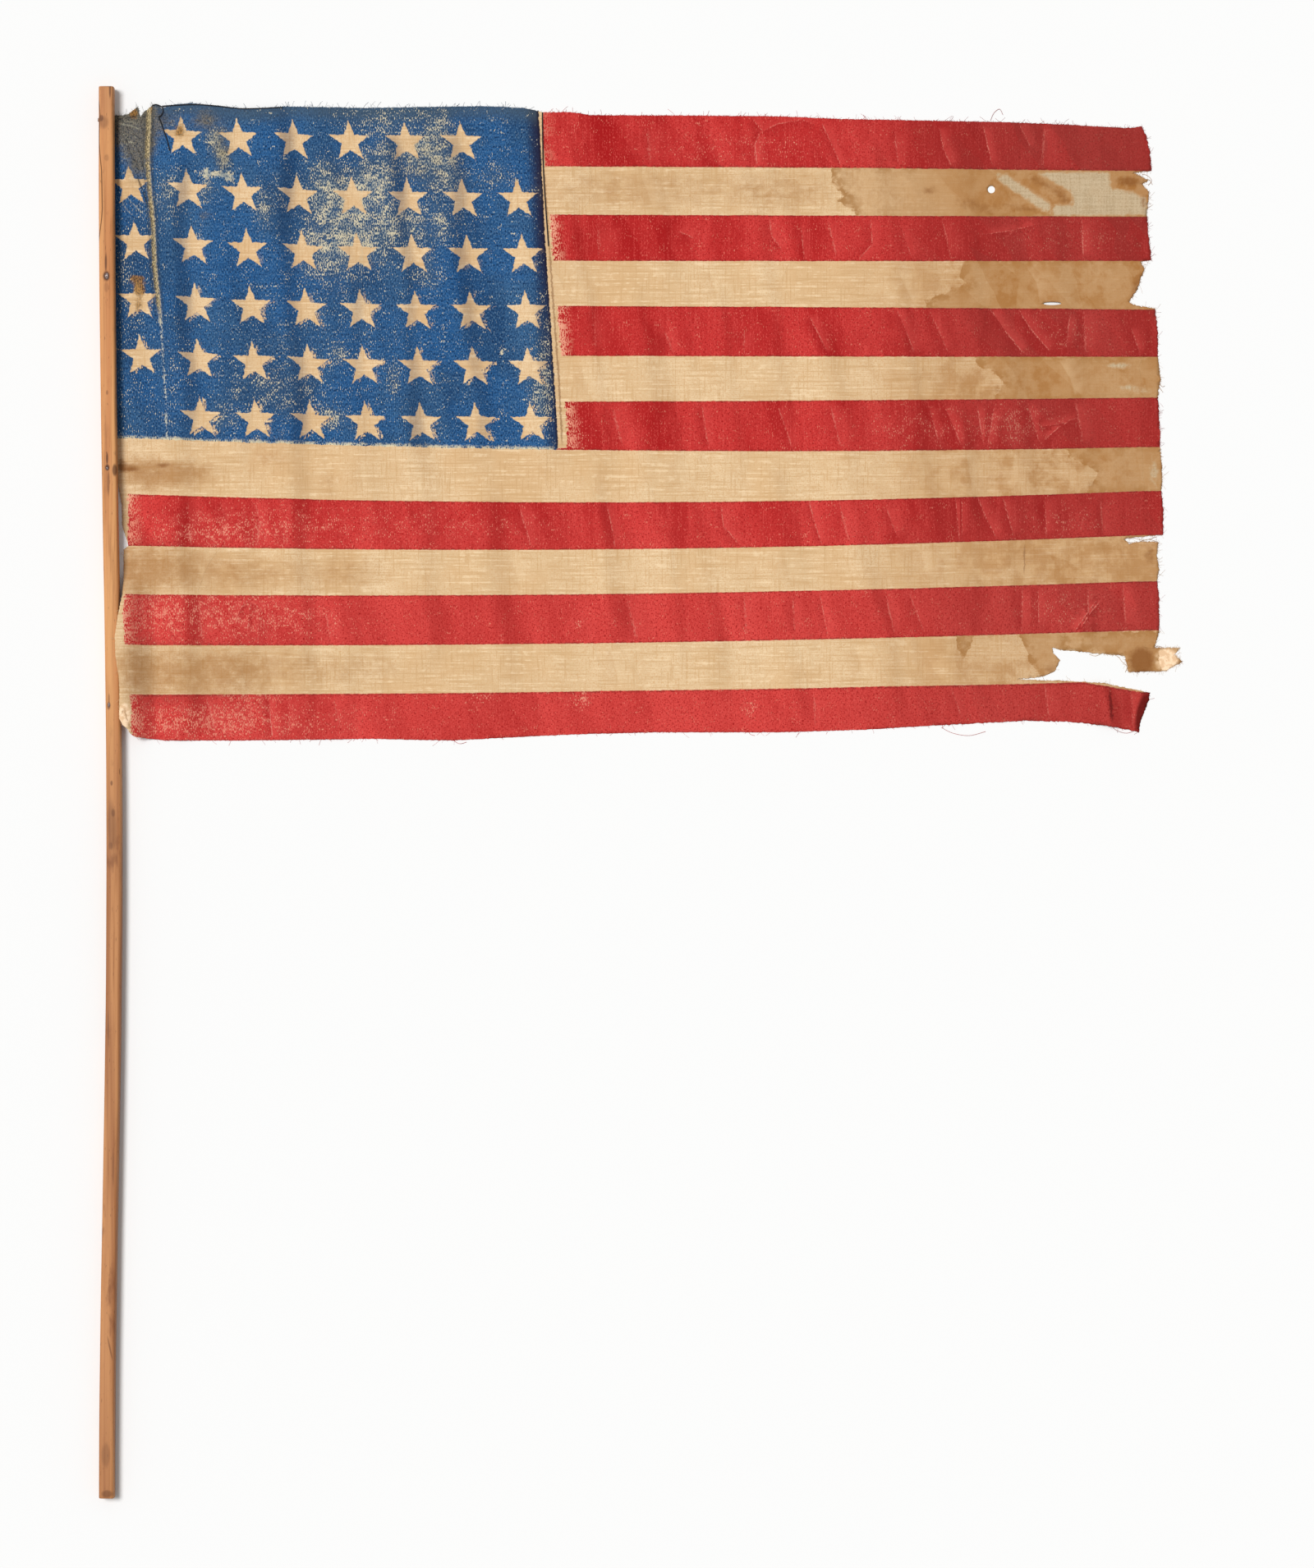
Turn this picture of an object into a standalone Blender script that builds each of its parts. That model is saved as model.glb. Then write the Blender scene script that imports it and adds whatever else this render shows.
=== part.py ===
"""A tattered printed-muslin parade flag on its wooden stick, lying on its back.

The flag is laid out in millimetres as it lies:
  along  from the straight line through the stick's two ends, towards the fly
  drop   from the flag's top edge, towards the butt of the stick
  rise   up from the surface that the flag lies on
The part's own frame is in metres: X along, Y up the stick, Z off the surface, with
its origin under the middle of the whole thing.
"""
import math
from collections import namedtuple

import bmesh
import bpy
from mathutils import Euler

MM = 0.001

# Driving dimensions, in millimetres
STICK_LENGTH = 1219.2
STICK_SIDE = 13.0
STICK_HEAD = 15.6
STICK_ROUNDING = 2.6
STICK_CURVE = 6.4
CURVE_SKEW = 1.15
CLOTH_THICKNESS = 1.2
GAP = 0.3
DRAPE_CLEARANCE = 2.0
TUCK = 4.5

# Tacks and nail, in millimetres
TACK_SHAFT_RADIUS = 0.8
TACK_TIP_RADIUS = 0.35
TACK_TIP_LENGTH = 4.0
TACK_HEAD_RADIUS = 3.0
TACK_HEAD_THICKNESS = 0.7
TACK_FOOT = 0.1
TIP_PROUD = 0.2
NAIL_LENGTH = 8.0
NAIL_SHAFT_RADIUS = 0.7
NAIL_HEAD_RADIUS = 1.7
NAIL_HEAD_THICKNESS = 0.8
TURNED_SIDES = 12
BORE_PAST = 2.0
SHARP_ANGLE = math.radians(40.0)

# Heights that follow from them
PINNED_RISE = TACK_FOOT + TACK_HEAD_THICKNESS + GAP
STICK_LIFT = PINNED_RISE + CLOTH_THICKNESS + GAP

Point = namedtuple("Point", "along drop")
Fold = namedtuple("Fold", "top_along top_drop foot_along foot_drop rise luff lee")
Hole = namedtuple("Hole", "along drop half_length half_width sides")

# Where the cloth leaves the stick, and where it lies over it again
PINNED_END = 320.0
FREE_START = 350.0
CLIMB_START = 398.0
CLIMB_END = 442.0
CLIMB_TOP = 1.5
CLIMB_FOOT = 14.0
SETTLE_START = 330.0
SETTLE_END = 460.0

# The stick's tacks: the first two hold the cloth, the third has torn free of it
TACKS = {
    "tack_1": Point(0.6, 147.9),
    "tack_2": Point(1.2, 314.3),
    "tack_3": Point(2.4, 518.3),
}
NAIL = Point(0.0, 12.8)

# The top edge from the stick to the fly, with the two flaps of torn hem beside the stick
TOP_EDGE = (
    Point(6.3, 7.7),
    Point(12.4, 7.7),
    Point(18.2, 6.3),
    Point(21.1, 3.7),
    Point(25.9, 0.4),
    Point(27.7, 9.2),
    Point(32.0, 4.1),
    Point(39.2, -1.4),
    Point(42.2, -1.8),
    Point(46.6, 1.9),
    Point(57.2, -1.9),
    Point(72.2, -3.1),
    Point(90.7, -0.9),
    Point(122.6, 2.1),
    Point(151.8, -0.1),
    Point(222.9, 1.2),
    Point(324.6, -0.4),
    Point(360.1, 1.2),
    Point(376.5, 5.0),
    Point(399.9, 4.6),
    Point(418.4, 7.4),
    Point(510.9, 7.8),
    Point(582.0, 8.5),
    Point(635.3, 10.7),
    Point(706.4, 12.1),
    Point(777.5, 13.5),
    Point(830.8, 15.6),
    Point(880.6, 18.5),
    Point(895.3, 17.3),
)

# The torn fly edge, stripe by stripe from the top
FLY_EDGE = {
    "red 1": (Point(898.6, 25.2), Point(901.9, 38.4), Point(903.2, 55.5)),
    "slit in white 2": (Point(887.4, 57.4), Point(892.7, 59.4), Point(900.5, 64.0)),
    "white 2": (Point(895.3, 67.3), Point(901.2, 73.8), Point(899.3, 93.9)),
    "red 3": (Point(900.5, 108.1), Point(903.2, 133.0)),
    "bite in white 4": (
        Point(894.1, 134.4),
        Point(897.6, 140.8),
        Point(894.1, 148.6),
        Point(891.4, 157.8),
        Point(884.8, 167.1),
        Point(884.1, 169.8),
        Point(890.5, 172.4),
    ),
    "red 5": (Point(906.5, 175.0), Point(908.7, 195.5), Point(908.7, 216.1)),
    "white 6": (Point(911.1, 237.5), Point(908.7, 250.3)),
    "red 7": (Point(910.7, 280.8), Point(910.7, 293.6)),
    "white 8": (Point(912.8, 320.7), Point(911.7, 332.0)),
    "red 9": (Point(913.5, 349.1), Point(913.3, 370.9)),
    "slit under red 9": (Point(881.3, 373.6), Point(880.1, 374.7), Point(883.8, 378.5)),
    "white 10": (
        Point(895.3, 376.5),
        Point(909.3, 377.2),
        Point(908.0, 389.3),
        Point(909.9, 400.7),
        Point(908.0, 411.7),
    ),
    "red 11": (Point(909.9, 425.9), Point(909.9, 455.0)),
    "flap of white 12": (
        Point(905.7, 468.5),
        Point(928.2, 468.5),
        Point(923.2, 474.2),
        Point(930.3, 480.6),
        Point(916.1, 488.5),
        Point(904.0, 489.2),
        Point(883.3, 489.6),
    ),
    "lost piece of white 12": (
        Point(882.0, 483.2),
        Point(880.1, 475.7),
        Point(872.5, 474.9),
        Point(847.1, 472.5),
        Point(824.2, 470.5),
        Point(817.9, 468.5),
        Point(818.5, 473.1),
        Point(824.2, 479.4),
        Point(821.6, 484.5),
        Point(819.1, 489.6),
        Point(806.4, 494.2),
        Point(788.1, 495.6),
        Point(809.0, 496.8),
    ),
    "red 13": (
        Point(826.8, 497.0),
        Point(862.3, 499.1),
        Point(891.5, 505.4),
        Point(902.3, 507.4),
        Point(901.1, 513.7),
        Point(894.0, 531.5),
        Point(892.2, 542.3),
    ),
}

# The bottom edge from the fly to the torn hoist corner
BOTTOM_EDGE = (
    Point(889.0, 541.0),
    Point(867.3, 536.5),
    Point(834.4, 532.8),
    Point(795.3, 531.8),
    Point(724.2, 535.4),
    Point(653.1, 539.6),
    Point(582.0, 541.8),
    Point(475.3, 541.8),
    Point(418.4, 543.2),
    Point(379.3, 544.6),
    Point(297.6, 548.9),
    Point(226.5, 547.5),
    Point(119.8, 548.9),
    Point(48.7, 548.9),
    Point(24.7, 546.0),
)

# The free hoist edge, from the bottom corner up to the second tack
HOIST_EDGE = (
    Point(21.8, 544.2),
    Point(18.8, 539.5),
    Point(14.1, 535.4),
    Point(11.4, 529.7),
    Point(11.7, 504.1),
    Point(11.2, 495.6),
    Point(8.2, 475.7),
    Point(7.7, 459.3),
    Point(9.5, 447.2),
    Point(11.7, 433.4),
    Point(13.6, 422.3),
    Point(13.6, 383.9),
    Point(17.7, 380.4),
    Point(12.5, 362.6),
    Point(12.0, 345.5),
    Point(10.5, 335.6),
    Point(9.6, 329.9),
    Point(7.5, 321.5),
)

# The worn round hole and the sliver at the fly end
HOLES = (
    Hole(764.7, 71.8, 3.2, 3.2, 8),
    Hole(817.3, 170.6, 7.8, 1.4, 8),
)

# One row for each fold. The line is the steep side, which faces the fly: luff is the
# width of the gentle side before it, and lee the width of the steep side after it
FOLDS = (
    Fold(64, 43, 74, 544, 4.2, 21, 10),
    Fold(102, 36, 122, 306, 2.4, 18, 10),
    Fold(123, 334, 120, 526, 2.2, 18, 10),
    Fold(152, 14, 177, 533, 4.4, 22, 10),
    Fold(199, 28, 231, 334, 3.2, 20, 10),
    Fold(215, 405, 209, 544, 2.2, 18, 10),
    Fold(249, 28, 271, 306, 4.2, 22, 10),
    Fold(276, 306, 286, 476, 3.2, 20, 10),
    Fold(296, 21, 326, 306, 3.4, 20, 10),
    Fold(333, 327, 352, 498, 3.4, 20, 11),
    Fold(370, 14, 387, 306, 3.0, 18, 11),
    Fold(404, 50, 445, 455, 2.4, 17, 9),
    Fold(461, 21, 497, 156, 2.0, 16, 9),
    Fold(454, 178, 499, 462, 2.4, 16, 9),
    Fold(475, 195, 538, 491, 2.4, 16, 9),
    Fold(551, 25, 595, 277, 2.4, 18, 9),
    Fold(525, 142, 549, 327, 1.8, 15, 9),
    Fold(582, 316, 605, 525, 3.0, 18, 9),
    Fold(614, 25, 650, 142, 2.0, 16, 9),
    Fold(623, 192, 689, 519, 2.6, 18, 9),
    Fold(670, 30, 743, 525, 2.4, 18, 9),
    Fold(741, 30, 755, 195, 2.0, 17, 9),
    Fold(746, 275, 755, 455, 2.4, 17, 9),
    Fold(780, 195, 807, 359, 2.4, 17, 9),
    Fold(786, 348, 788, 455, 2.6, 14, 9),
    Fold(824, 78, 859, 363, 2.4, 18, 9),
    Fold(849, 405, 852, 462, 2.0, 14, 8),
    Fold(863, 249, 891, 334, 1.8, 14, 8),
    Fold(866, 501, 871, 540, 4.0, 12, 7),
)
FOLD_FADE_OUTSIDE = 25.0
FOLD_FADE_INSIDE = 15.0
CONTACT_DEPTH = 0.3
FOLD_FREE_OF_STICK = 20.0

# The sheet's lattice
NARROW_COLUMNS = 11
NARROW_WIDTH = 3.0
WIDE_WIDTH = 10.5
ROW_HEIGHT = 29.5
LATTICE_MARGIN = 2.0
STICK_STATIONS = 26


def clear_scene():
    for found in list(bpy.data.objects):
        bpy.data.objects.remove(found, do_unlink=True)


def collection(name):
    made = bpy.data.collections.new(name)
    bpy.context.scene.collection.children.link(made)
    return made


def material(name, colour, roughness, metallic=0.0):
    made = bpy.data.materials.new(name)
    made.use_nodes = True
    surface = made.node_tree.nodes["Principled BSDF"]
    surface.inputs["Base Color"].default_value = (*colour, 1.0)
    surface.inputs["Roughness"].default_value = roughness
    surface.inputs["Metallic"].default_value = metallic
    return made


def ease(value, start, end):
    share = min(max((value - start) / (end - start), 0.0), 1.0)
    return share * share * (3.0 - 2.0 * share)


def stick_axis(drop):
    """How far the bent stick's middle stands off the straight line at this drop."""
    share = min(max((drop + STICK_HEAD) / STICK_LENGTH, 0.0), 1.0)
    return STICK_CURVE * math.sin(math.pi * share ** CURVE_SKEW) ** 2


def stick_rise(drop):
    """The stick's underside: over the pinned cloth at the top, on the surface below."""
    return STICK_LIFT * (1.0 - ease(drop, SETTLE_START, SETTLE_END))


def fold_rise(fold, point):
    share = (point.drop - fold.top_drop) / (fold.foot_drop - fold.top_drop)
    line = fold.top_along + share * (fold.foot_along - fold.top_along)
    from_crest = point.along - line + fold.lee
    width = fold.lee if from_crest > 0.0 else fold.luff
    appears = ease(point.drop, fold.top_drop - FOLD_FADE_OUTSIDE, fold.top_drop + FOLD_FADE_INSIDE)
    ends = ease(point.drop, fold.foot_drop - FOLD_FADE_INSIDE, fold.foot_drop + FOLD_FADE_OUTSIDE)
    return fold.rise * math.exp(-(from_crest / width) ** 2) * appears * (1.0 - ends)


def cloth_rise(point):
    """The cloth's underside: pinned under the stick, free, then up over its shoulder."""
    past_stick = point.along - stick_axis(point.drop) - STICK_SIDE / 2.0
    beside = 1.0 - ease(past_stick, CLIMB_TOP, CLIMB_FOOT)
    pinned = PINNED_RISE * (1.0 - ease(point.drop, PINNED_END, FREE_START)) * beside
    shoulder = stick_rise(point.drop) + STICK_SIDE + DRAPE_CLEARANCE
    over = shoulder * ease(point.drop, CLIMB_START, CLIMB_END) * beside
    waves = sum(fold_rise(fold, point) for fold in FOLDS)
    waves = max(0.0, waves - CONTACT_DEPTH) * ease(past_stick, 0.0, FOLD_FREE_OF_STICK)
    return max(pinned, over) + waves


def cloth_outline():
    """The whole edge in one loop: top, fly, bottom, free hoist, then under the stick."""
    points = list(TOP_EDGE)
    for edge in FLY_EDGE.values():
        points.extend(edge)
    points.extend(BOTTOM_EDGE)
    points.extend(HOIST_EDGE)
    tucked_steps = 5
    for step in range(tucked_steps + 1):
        drop = PINNED_END + (TOP_EDGE[0].drop - PINNED_END) * step / tucked_steps
        points.append(Point(stick_axis(drop) - TUCK, drop))
    return points


def oval(hole):
    points = []
    for step in range(hole.sides):
        angle = 2.0 * math.pi * step / hole.sides
        along = hole.along + hole.half_length * math.cos(angle)
        points.append(Point(along, hole.drop + hole.half_width * math.sin(angle)))
    return points


OUTLINE = cloth_outline()
REACH_LEFT = -STICK_SIDE / 2.0 - GAP - NAIL_HEAD_THICKNESS
REACH_RIGHT = max(point.along for point in OUTLINE)
MIDDLE_ALONG = (REACH_LEFT + REACH_RIGHT) / 2.0
MIDDLE_DROP = STICK_LENGTH / 2.0 - STICK_HEAD


def placed(along, drop, rise=0.0):
    """A place on the flag, in the part's own frame in metres."""
    return ((along - MIDDLE_ALONG) * MM, (MIDDLE_DROP - drop) * MM, rise * MM)


def cloth_cutter(into):
    """The flag's outline and holes as a flat prism, to trim the sheet with."""
    half_depth = 3.0 * STICK_SIDE
    loops = [OUTLINE] + [oval(hole) for hole in HOLES]
    bore = TACK_SHAFT_RADIUS + GAP
    for name in ("tack_1", "tack_2"):
        loops.append(oval(Hole(*TACKS[name], bore, bore, TURNED_SIDES)))
    flat = bpy.data.curves.new("cloth_outline", "CURVE")
    flat.dimensions = "2D"
    flat.fill_mode = "BOTH"
    flat.extrude = half_depth * MM
    for loop in loops:
        spline = flat.splines.new("POLY")
        spline.points.add(len(loop) - 1)
        spline.use_cyclic_u = True
        for knot, point in zip(spline.points, loop):
            knot.co = (*placed(*point), 1.0)
    drawn = bpy.data.objects.new("cloth_outline", flat)
    into.objects.link(drawn)
    bpy.context.view_layer.update()
    evaluated = drawn.evaluated_get(bpy.context.evaluated_depsgraph_get())
    solid = bpy.data.meshes.new_from_object(evaluated)
    welded = bmesh.new()
    welded.from_mesh(solid)
    bmesh.ops.remove_doubles(welded, verts=welded.verts, dist=0.01 * MM)
    bmesh.ops.recalc_face_normals(welded, faces=welded.faces)
    welded.to_mesh(solid)
    welded.free()
    cutter = bpy.data.objects.new("cloth_cutter", solid)
    cutter.matrix_world = drawn.matrix_world.copy()
    into.objects.link(cutter)
    bpy.data.objects.remove(drawn, do_unlink=True)
    hide_guide(cutter)
    return cutter


def hide_guide(guide):
    guide.hide_render = True
    guide.display_type = "WIRE"


def lattice_lines(start, end):
    """Narrow columns where the cloth bends round the stick, wide ones past them."""
    narrow = [start + NARROW_WIDTH * step for step in range(NARROW_COLUMNS)]
    past = start + NARROW_WIDTH * NARROW_COLUMNS
    wide_count = math.ceil((end - past) / WIDE_WIDTH)
    wide_width = (end - past) / wide_count
    wide = [past + wide_width * step for step in range(wide_count + 1)]
    return narrow + wide


def make_cloth(into, guides, finish):
    """A lattice laid in its folds, given the cloth's thickness and trimmed to the outline."""
    drops = [point.drop for point in OUTLINE]
    columns = lattice_lines(-TUCK - LATTICE_MARGIN, REACH_RIGHT + LATTICE_MARGIN)
    top = min(drops) - LATTICE_MARGIN
    bottom = max(drops) + LATTICE_MARGIN
    rows = math.ceil((bottom - top) / ROW_HEIGHT)
    sheet = bmesh.new()
    bmesh.ops.create_grid(sheet, x_segments=len(columns) - 1, y_segments=rows, size=0.5)
    for vertex in sheet.verts:
        along = columns[round((vertex.co.x + 0.5) * (len(columns) - 1))]
        drop = bottom + (vertex.co.y + 0.5) * (top - bottom)
        vertex.co = placed(along, drop, cloth_rise(Point(along, drop)))
    mesh = bpy.data.meshes.new("flag_cloth")
    sheet.to_mesh(mesh)
    sheet.free()
    mesh.materials.append(finish)
    mesh.shade_smooth()
    cloth = bpy.data.objects.new("flag_cloth", mesh)
    into.objects.link(cloth)
    thick = cloth.modifiers.new("thickness", "SOLIDIFY")
    thick.thickness = CLOTH_THICKNESS * MM
    thick.offset = 1.0
    thick.use_even_offset = True
    trim = cloth.modifiers.new("trim", "BOOLEAN")
    trim.operation = "INTERSECT"
    trim.object = cloth_cutter(guides)
    return cloth


def make_stick(into, finish):
    """A square stick with rounded edges, bent sideways and lifted over the cloth."""
    bar = bmesh.new()
    bmesh.ops.create_cube(bar, size=1.0)
    bmesh.ops.scale(bar, verts=bar.verts, vec=(STICK_SIDE, STICK_LENGTH, STICK_SIDE))
    long_edges = [edge for edge in bar.edges if edge.calc_length() > STICK_SIDE * 2.0]
    bmesh.ops.bevel(bar, geom=long_edges, offset=STICK_ROUNDING, segments=2, profile=0.5,
                    affect="EDGES", material=-1)
    for station in range(1, STICK_STATIONS):
        place = STICK_LENGTH * (station / STICK_STATIONS - 0.5)
        everything = bar.verts[:] + bar.edges[:] + bar.faces[:]
        bmesh.ops.bisect_plane(bar, geom=everything, plane_co=(0.0, place, 0.0),
                               plane_no=(0.0, 1.0, 0.0))
    for vertex in bar.verts:
        drop = MIDDLE_DROP - vertex.co.y
        rise = vertex.co.z + STICK_SIDE / 2.0 + stick_rise(drop)
        vertex.co = placed(stick_axis(drop) + vertex.co.x, drop, rise)
    mesh = bpy.data.meshes.new("stick")
    bar.to_mesh(mesh)
    bar.free()
    mesh.materials.append(finish)
    mesh.shade_smooth()
    mesh.set_sharp_from_angle(angle=SHARP_ANGLE)
    stick = bpy.data.objects.new("stick", mesh)
    into.objects.link(stick)
    return stick


def turned(name, profile, into):
    """A solid of revolution about Z. The profile runs from its tip down to its foot."""
    mesh = bpy.data.meshes.new(name)
    outline = bmesh.new()
    corners = [outline.verts.new((radius * MM, 0.0, height * MM)) for radius, height in profile]
    for upper, lower in zip(corners, corners[1:]):
        outline.edges.new((upper, lower))
    outline.to_mesh(mesh)
    outline.free()
    made = bpy.data.objects.new(name, mesh)
    into.objects.link(made)
    spin = made.modifiers.new("turn", "SCREW")
    spin.axis = "Z"
    spin.steps = TURNED_SIDES
    spin.render_steps = TURNED_SIDES
    spin.use_merge_vertices = True
    spin.merge_threshold = 0.01 * MM
    spin.use_smooth_shade = False
    return made


def headed_pin(length, head_radius, head_thickness, shaft_radius):
    """Profile of a tack or nail with its head at the foot and its point on top."""
    return (
        (0.0, length),
        (TACK_TIP_RADIUS, length),
        (shaft_radius, length - TACK_TIP_LENGTH),
        (shaft_radius, head_thickness),
        (head_radius, head_thickness),
        (head_radius, 0.25 * head_thickness),
        (0.8 * head_radius, 0.0),
        (0.0, 0.0),
    )


def bore_profile(top, radius, recess_radius, recess_top, foot):
    """Profile of a bore with a wider recess at its foot."""
    return (
        (0.0, top),
        (radius, top),
        (radius, recess_top),
        (recess_radius, recess_top),
        (recess_radius, foot),
        (0.0, foot),
    )


def cut(target, cutter):
    hide_guide(cutter)
    removal = target.modifiers.new(cutter.name, "BOOLEAN")
    removal.operation = "DIFFERENCE"
    removal.object = cutter


def make_tacks(stick, into, guides, finish):
    """Tacks driven up through the stick, with their heads under the cloth."""
    bore = TACK_SHAFT_RADIUS + GAP
    recess = TACK_HEAD_RADIUS + GAP
    for name, point in TACKS.items():
        underside = stick_rise(point.drop)
        holds_cloth = point.drop < PINNED_END
        foot = TACK_FOOT if holds_cloth else GAP
        top = underside + STICK_SIDE + TIP_PROUD
        profile = headed_pin(top - foot, TACK_HEAD_RADIUS, TACK_HEAD_THICKNESS, TACK_SHAFT_RADIUS)
        tack = turned(name, profile, into)
        tack.location = placed(*point, foot)
        tack.data.materials.append(finish)
        recess_top = foot + TACK_HEAD_THICKNESS + GAP
        wide = bore if holds_cloth else recess
        drilled = bore_profile(top + BORE_PAST, bore, wide, recess_top, -BORE_PAST)
        hole = turned(name + "_bore", drilled, guides)
        hole.location = placed(*point)
        cut(stick, hole)


def make_nail(stick, into, guides, finish):
    """A small nail in the stick's outer side, its head a little off the wood."""
    middle = stick_rise(NAIL.drop) + STICK_SIDE / 2.0
    side = stick_axis(NAIL.drop) - STICK_SIDE / 2.0
    profile = headed_pin(NAIL_LENGTH, NAIL_HEAD_RADIUS, NAIL_HEAD_THICKNESS, NAIL_SHAFT_RADIUS)
    nail = turned("nail_top", profile, into)
    nail.rotation_euler = Euler((0.0, math.radians(90.0), 0.0))
    nail.location = placed(side - GAP - NAIL_HEAD_THICKNESS, NAIL.drop, middle)
    nail.data.materials.append(finish)
    bore = NAIL_SHAFT_RADIUS + GAP
    deep = NAIL_LENGTH
    drilled = ((0.0, deep), (bore, deep), (bore, -BORE_PAST), (0.0, -BORE_PAST))
    hole = turned("nail_bore", drilled, guides)
    hole.rotation_euler = nail.rotation_euler
    hole.location = placed(side, NAIL.drop, middle)
    cut(stick, hole)


def main():
    clear_scene()
    parts = collection("tattered_flag")
    guides = collection("guides")
    muslin = material("printed_muslin", (0.46, 0.35, 0.27), 0.9)
    pine = material("aged_pine", (0.46, 0.24, 0.11), 0.7)
    steel = material("rusty_steel", (0.20, 0.15, 0.12), 0.6, 0.7)
    make_cloth(parts, guides, muslin)
    stick = make_stick(parts, pine)
    make_tacks(stick, parts, guides, steel)
    make_nail(stick, parts, guides, steel)


main()
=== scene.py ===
"""A tattered printed-muslin parade flag on its wooden stick, laid out on a pale surface.

Places on the flag are in millimetres as it lies:
  along  from the straight line through the stick's two ends, towards the fly
  drop   from the flag's top edge, towards the butt of the stick
  rise   up from the surface
Marks of print, wear and dirt, and of painted shade along creases and at the curled end, are
placed where the photograph shows them, in pixels of its 1600 by 1910 frame, and on_flag()
turns them into millimetres.
"""
import math
import random
from collections import namedtuple

import bmesh
import bpy
import numpy as np
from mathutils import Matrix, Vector


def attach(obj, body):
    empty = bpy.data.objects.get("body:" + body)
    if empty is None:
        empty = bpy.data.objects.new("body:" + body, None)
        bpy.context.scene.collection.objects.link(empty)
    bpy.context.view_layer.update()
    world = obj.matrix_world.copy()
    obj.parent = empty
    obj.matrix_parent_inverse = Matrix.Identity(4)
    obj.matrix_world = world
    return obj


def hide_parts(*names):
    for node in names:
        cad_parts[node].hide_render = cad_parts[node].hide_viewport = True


MM = 0.001

# The photograph's frame
PHOTO_WIDTH = 1600.0
PHOTO_HEIGHT = 1910.0
MM_PER_PIXEL = 0.711
ZERO_X = 131.5
ZERO_Y = 130.0

# The flag's sizes, in millimetres
STICK_LENGTH = 1219.2
STICK_SIDE = 13.0
STICK_HEAD = 15.6
STICK_CURVE = 6.4
CURVE_SKEW = 1.15
STICK_LIFT = 2.6
PINNED_RISE = 1.1
DRAPE_CLEARANCE = 2.0
TUCK = 4.5
MIDDLE_ALONG = 461.35
MIDDLE_DROP = STICK_LENGTH / 2.0 - STICK_HEAD
PINNED_END = 320.0
FREE_START = 350.0
CLIMB_START = 398.0
CLIMB_END = 442.0
CLIMB_TOP = 1.5
CLIMB_FOOT = 32.0
SETTLE_START = 330.0
SETTLE_END = 460.0
CONTACT_DEPTH = 0.3
FOLD_FADE_OUTSIDE = 25.0
FOLD_FADE_INSIDE = 15.0
FOLD_FREE_OF_STICK = 20.0

# The sheet
MUSLIN_THICKNESS = 0.42
MUSLIN_LIFT = 0.05
CUT_STEP = 1.5
NARROW_COLUMN = 2.0
NARROW_REACH = 62.0
WIDE_COLUMN = 3.6
ROW_STEP = 3.75

Point = namedtuple("Point", "along drop")
Fold = namedtuple("Fold", "top_along top_drop foot_along foot_drop rise luff lee")
Wrinkle = namedtuple("Wrinkle", "x y end_x end_y rise width")
Crease = namedtuple("Crease", "pale width route")
Spot = namedtuple("Spot", "x y across down turn amount")
Hole = namedtuple("Hole", "along drop half_length half_width")


def on_flag(x, y):
    """A place in the photograph, as millimetres on the flag."""
    return Point((x - ZERO_X) * MM_PER_PIXEL, (y - ZERO_Y) * MM_PER_PIXEL)


def placed(along, drop, rise=0.0):
    """A place on the flag, in the frame's metres."""
    return ((along - MIDDLE_ALONG) * MM, (MIDDLE_DROP - drop) * MM, rise * MM)


# Outline of the cloth, in millimetres
TOP_EDGE = (
    Point(6.3, 7.7), Point(12.4, 7.7), Point(18.2, 6.3), Point(21.1, 3.7), Point(25.9, 0.4),
    Point(27.7, 9.2), Point(32.0, 4.1), Point(39.2, -1.4), Point(42.2, -1.8), Point(46.6, 1.9),
    Point(57.2, -1.9), Point(72.2, -3.1), Point(90.7, -0.9), Point(122.6, 2.1),
    Point(151.8, -0.1), Point(222.9, 1.2), Point(324.6, -0.4), Point(360.1, 1.2),
    Point(376.5, 5.0), Point(399.9, 4.6), Point(418.4, 7.4), Point(510.9, 7.8),
    Point(582.0, 8.5), Point(635.3, 10.7), Point(706.4, 12.1), Point(777.5, 13.5),
    Point(830.8, 15.6), Point(880.6, 18.5), Point(895.3, 17.3),
)
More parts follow.
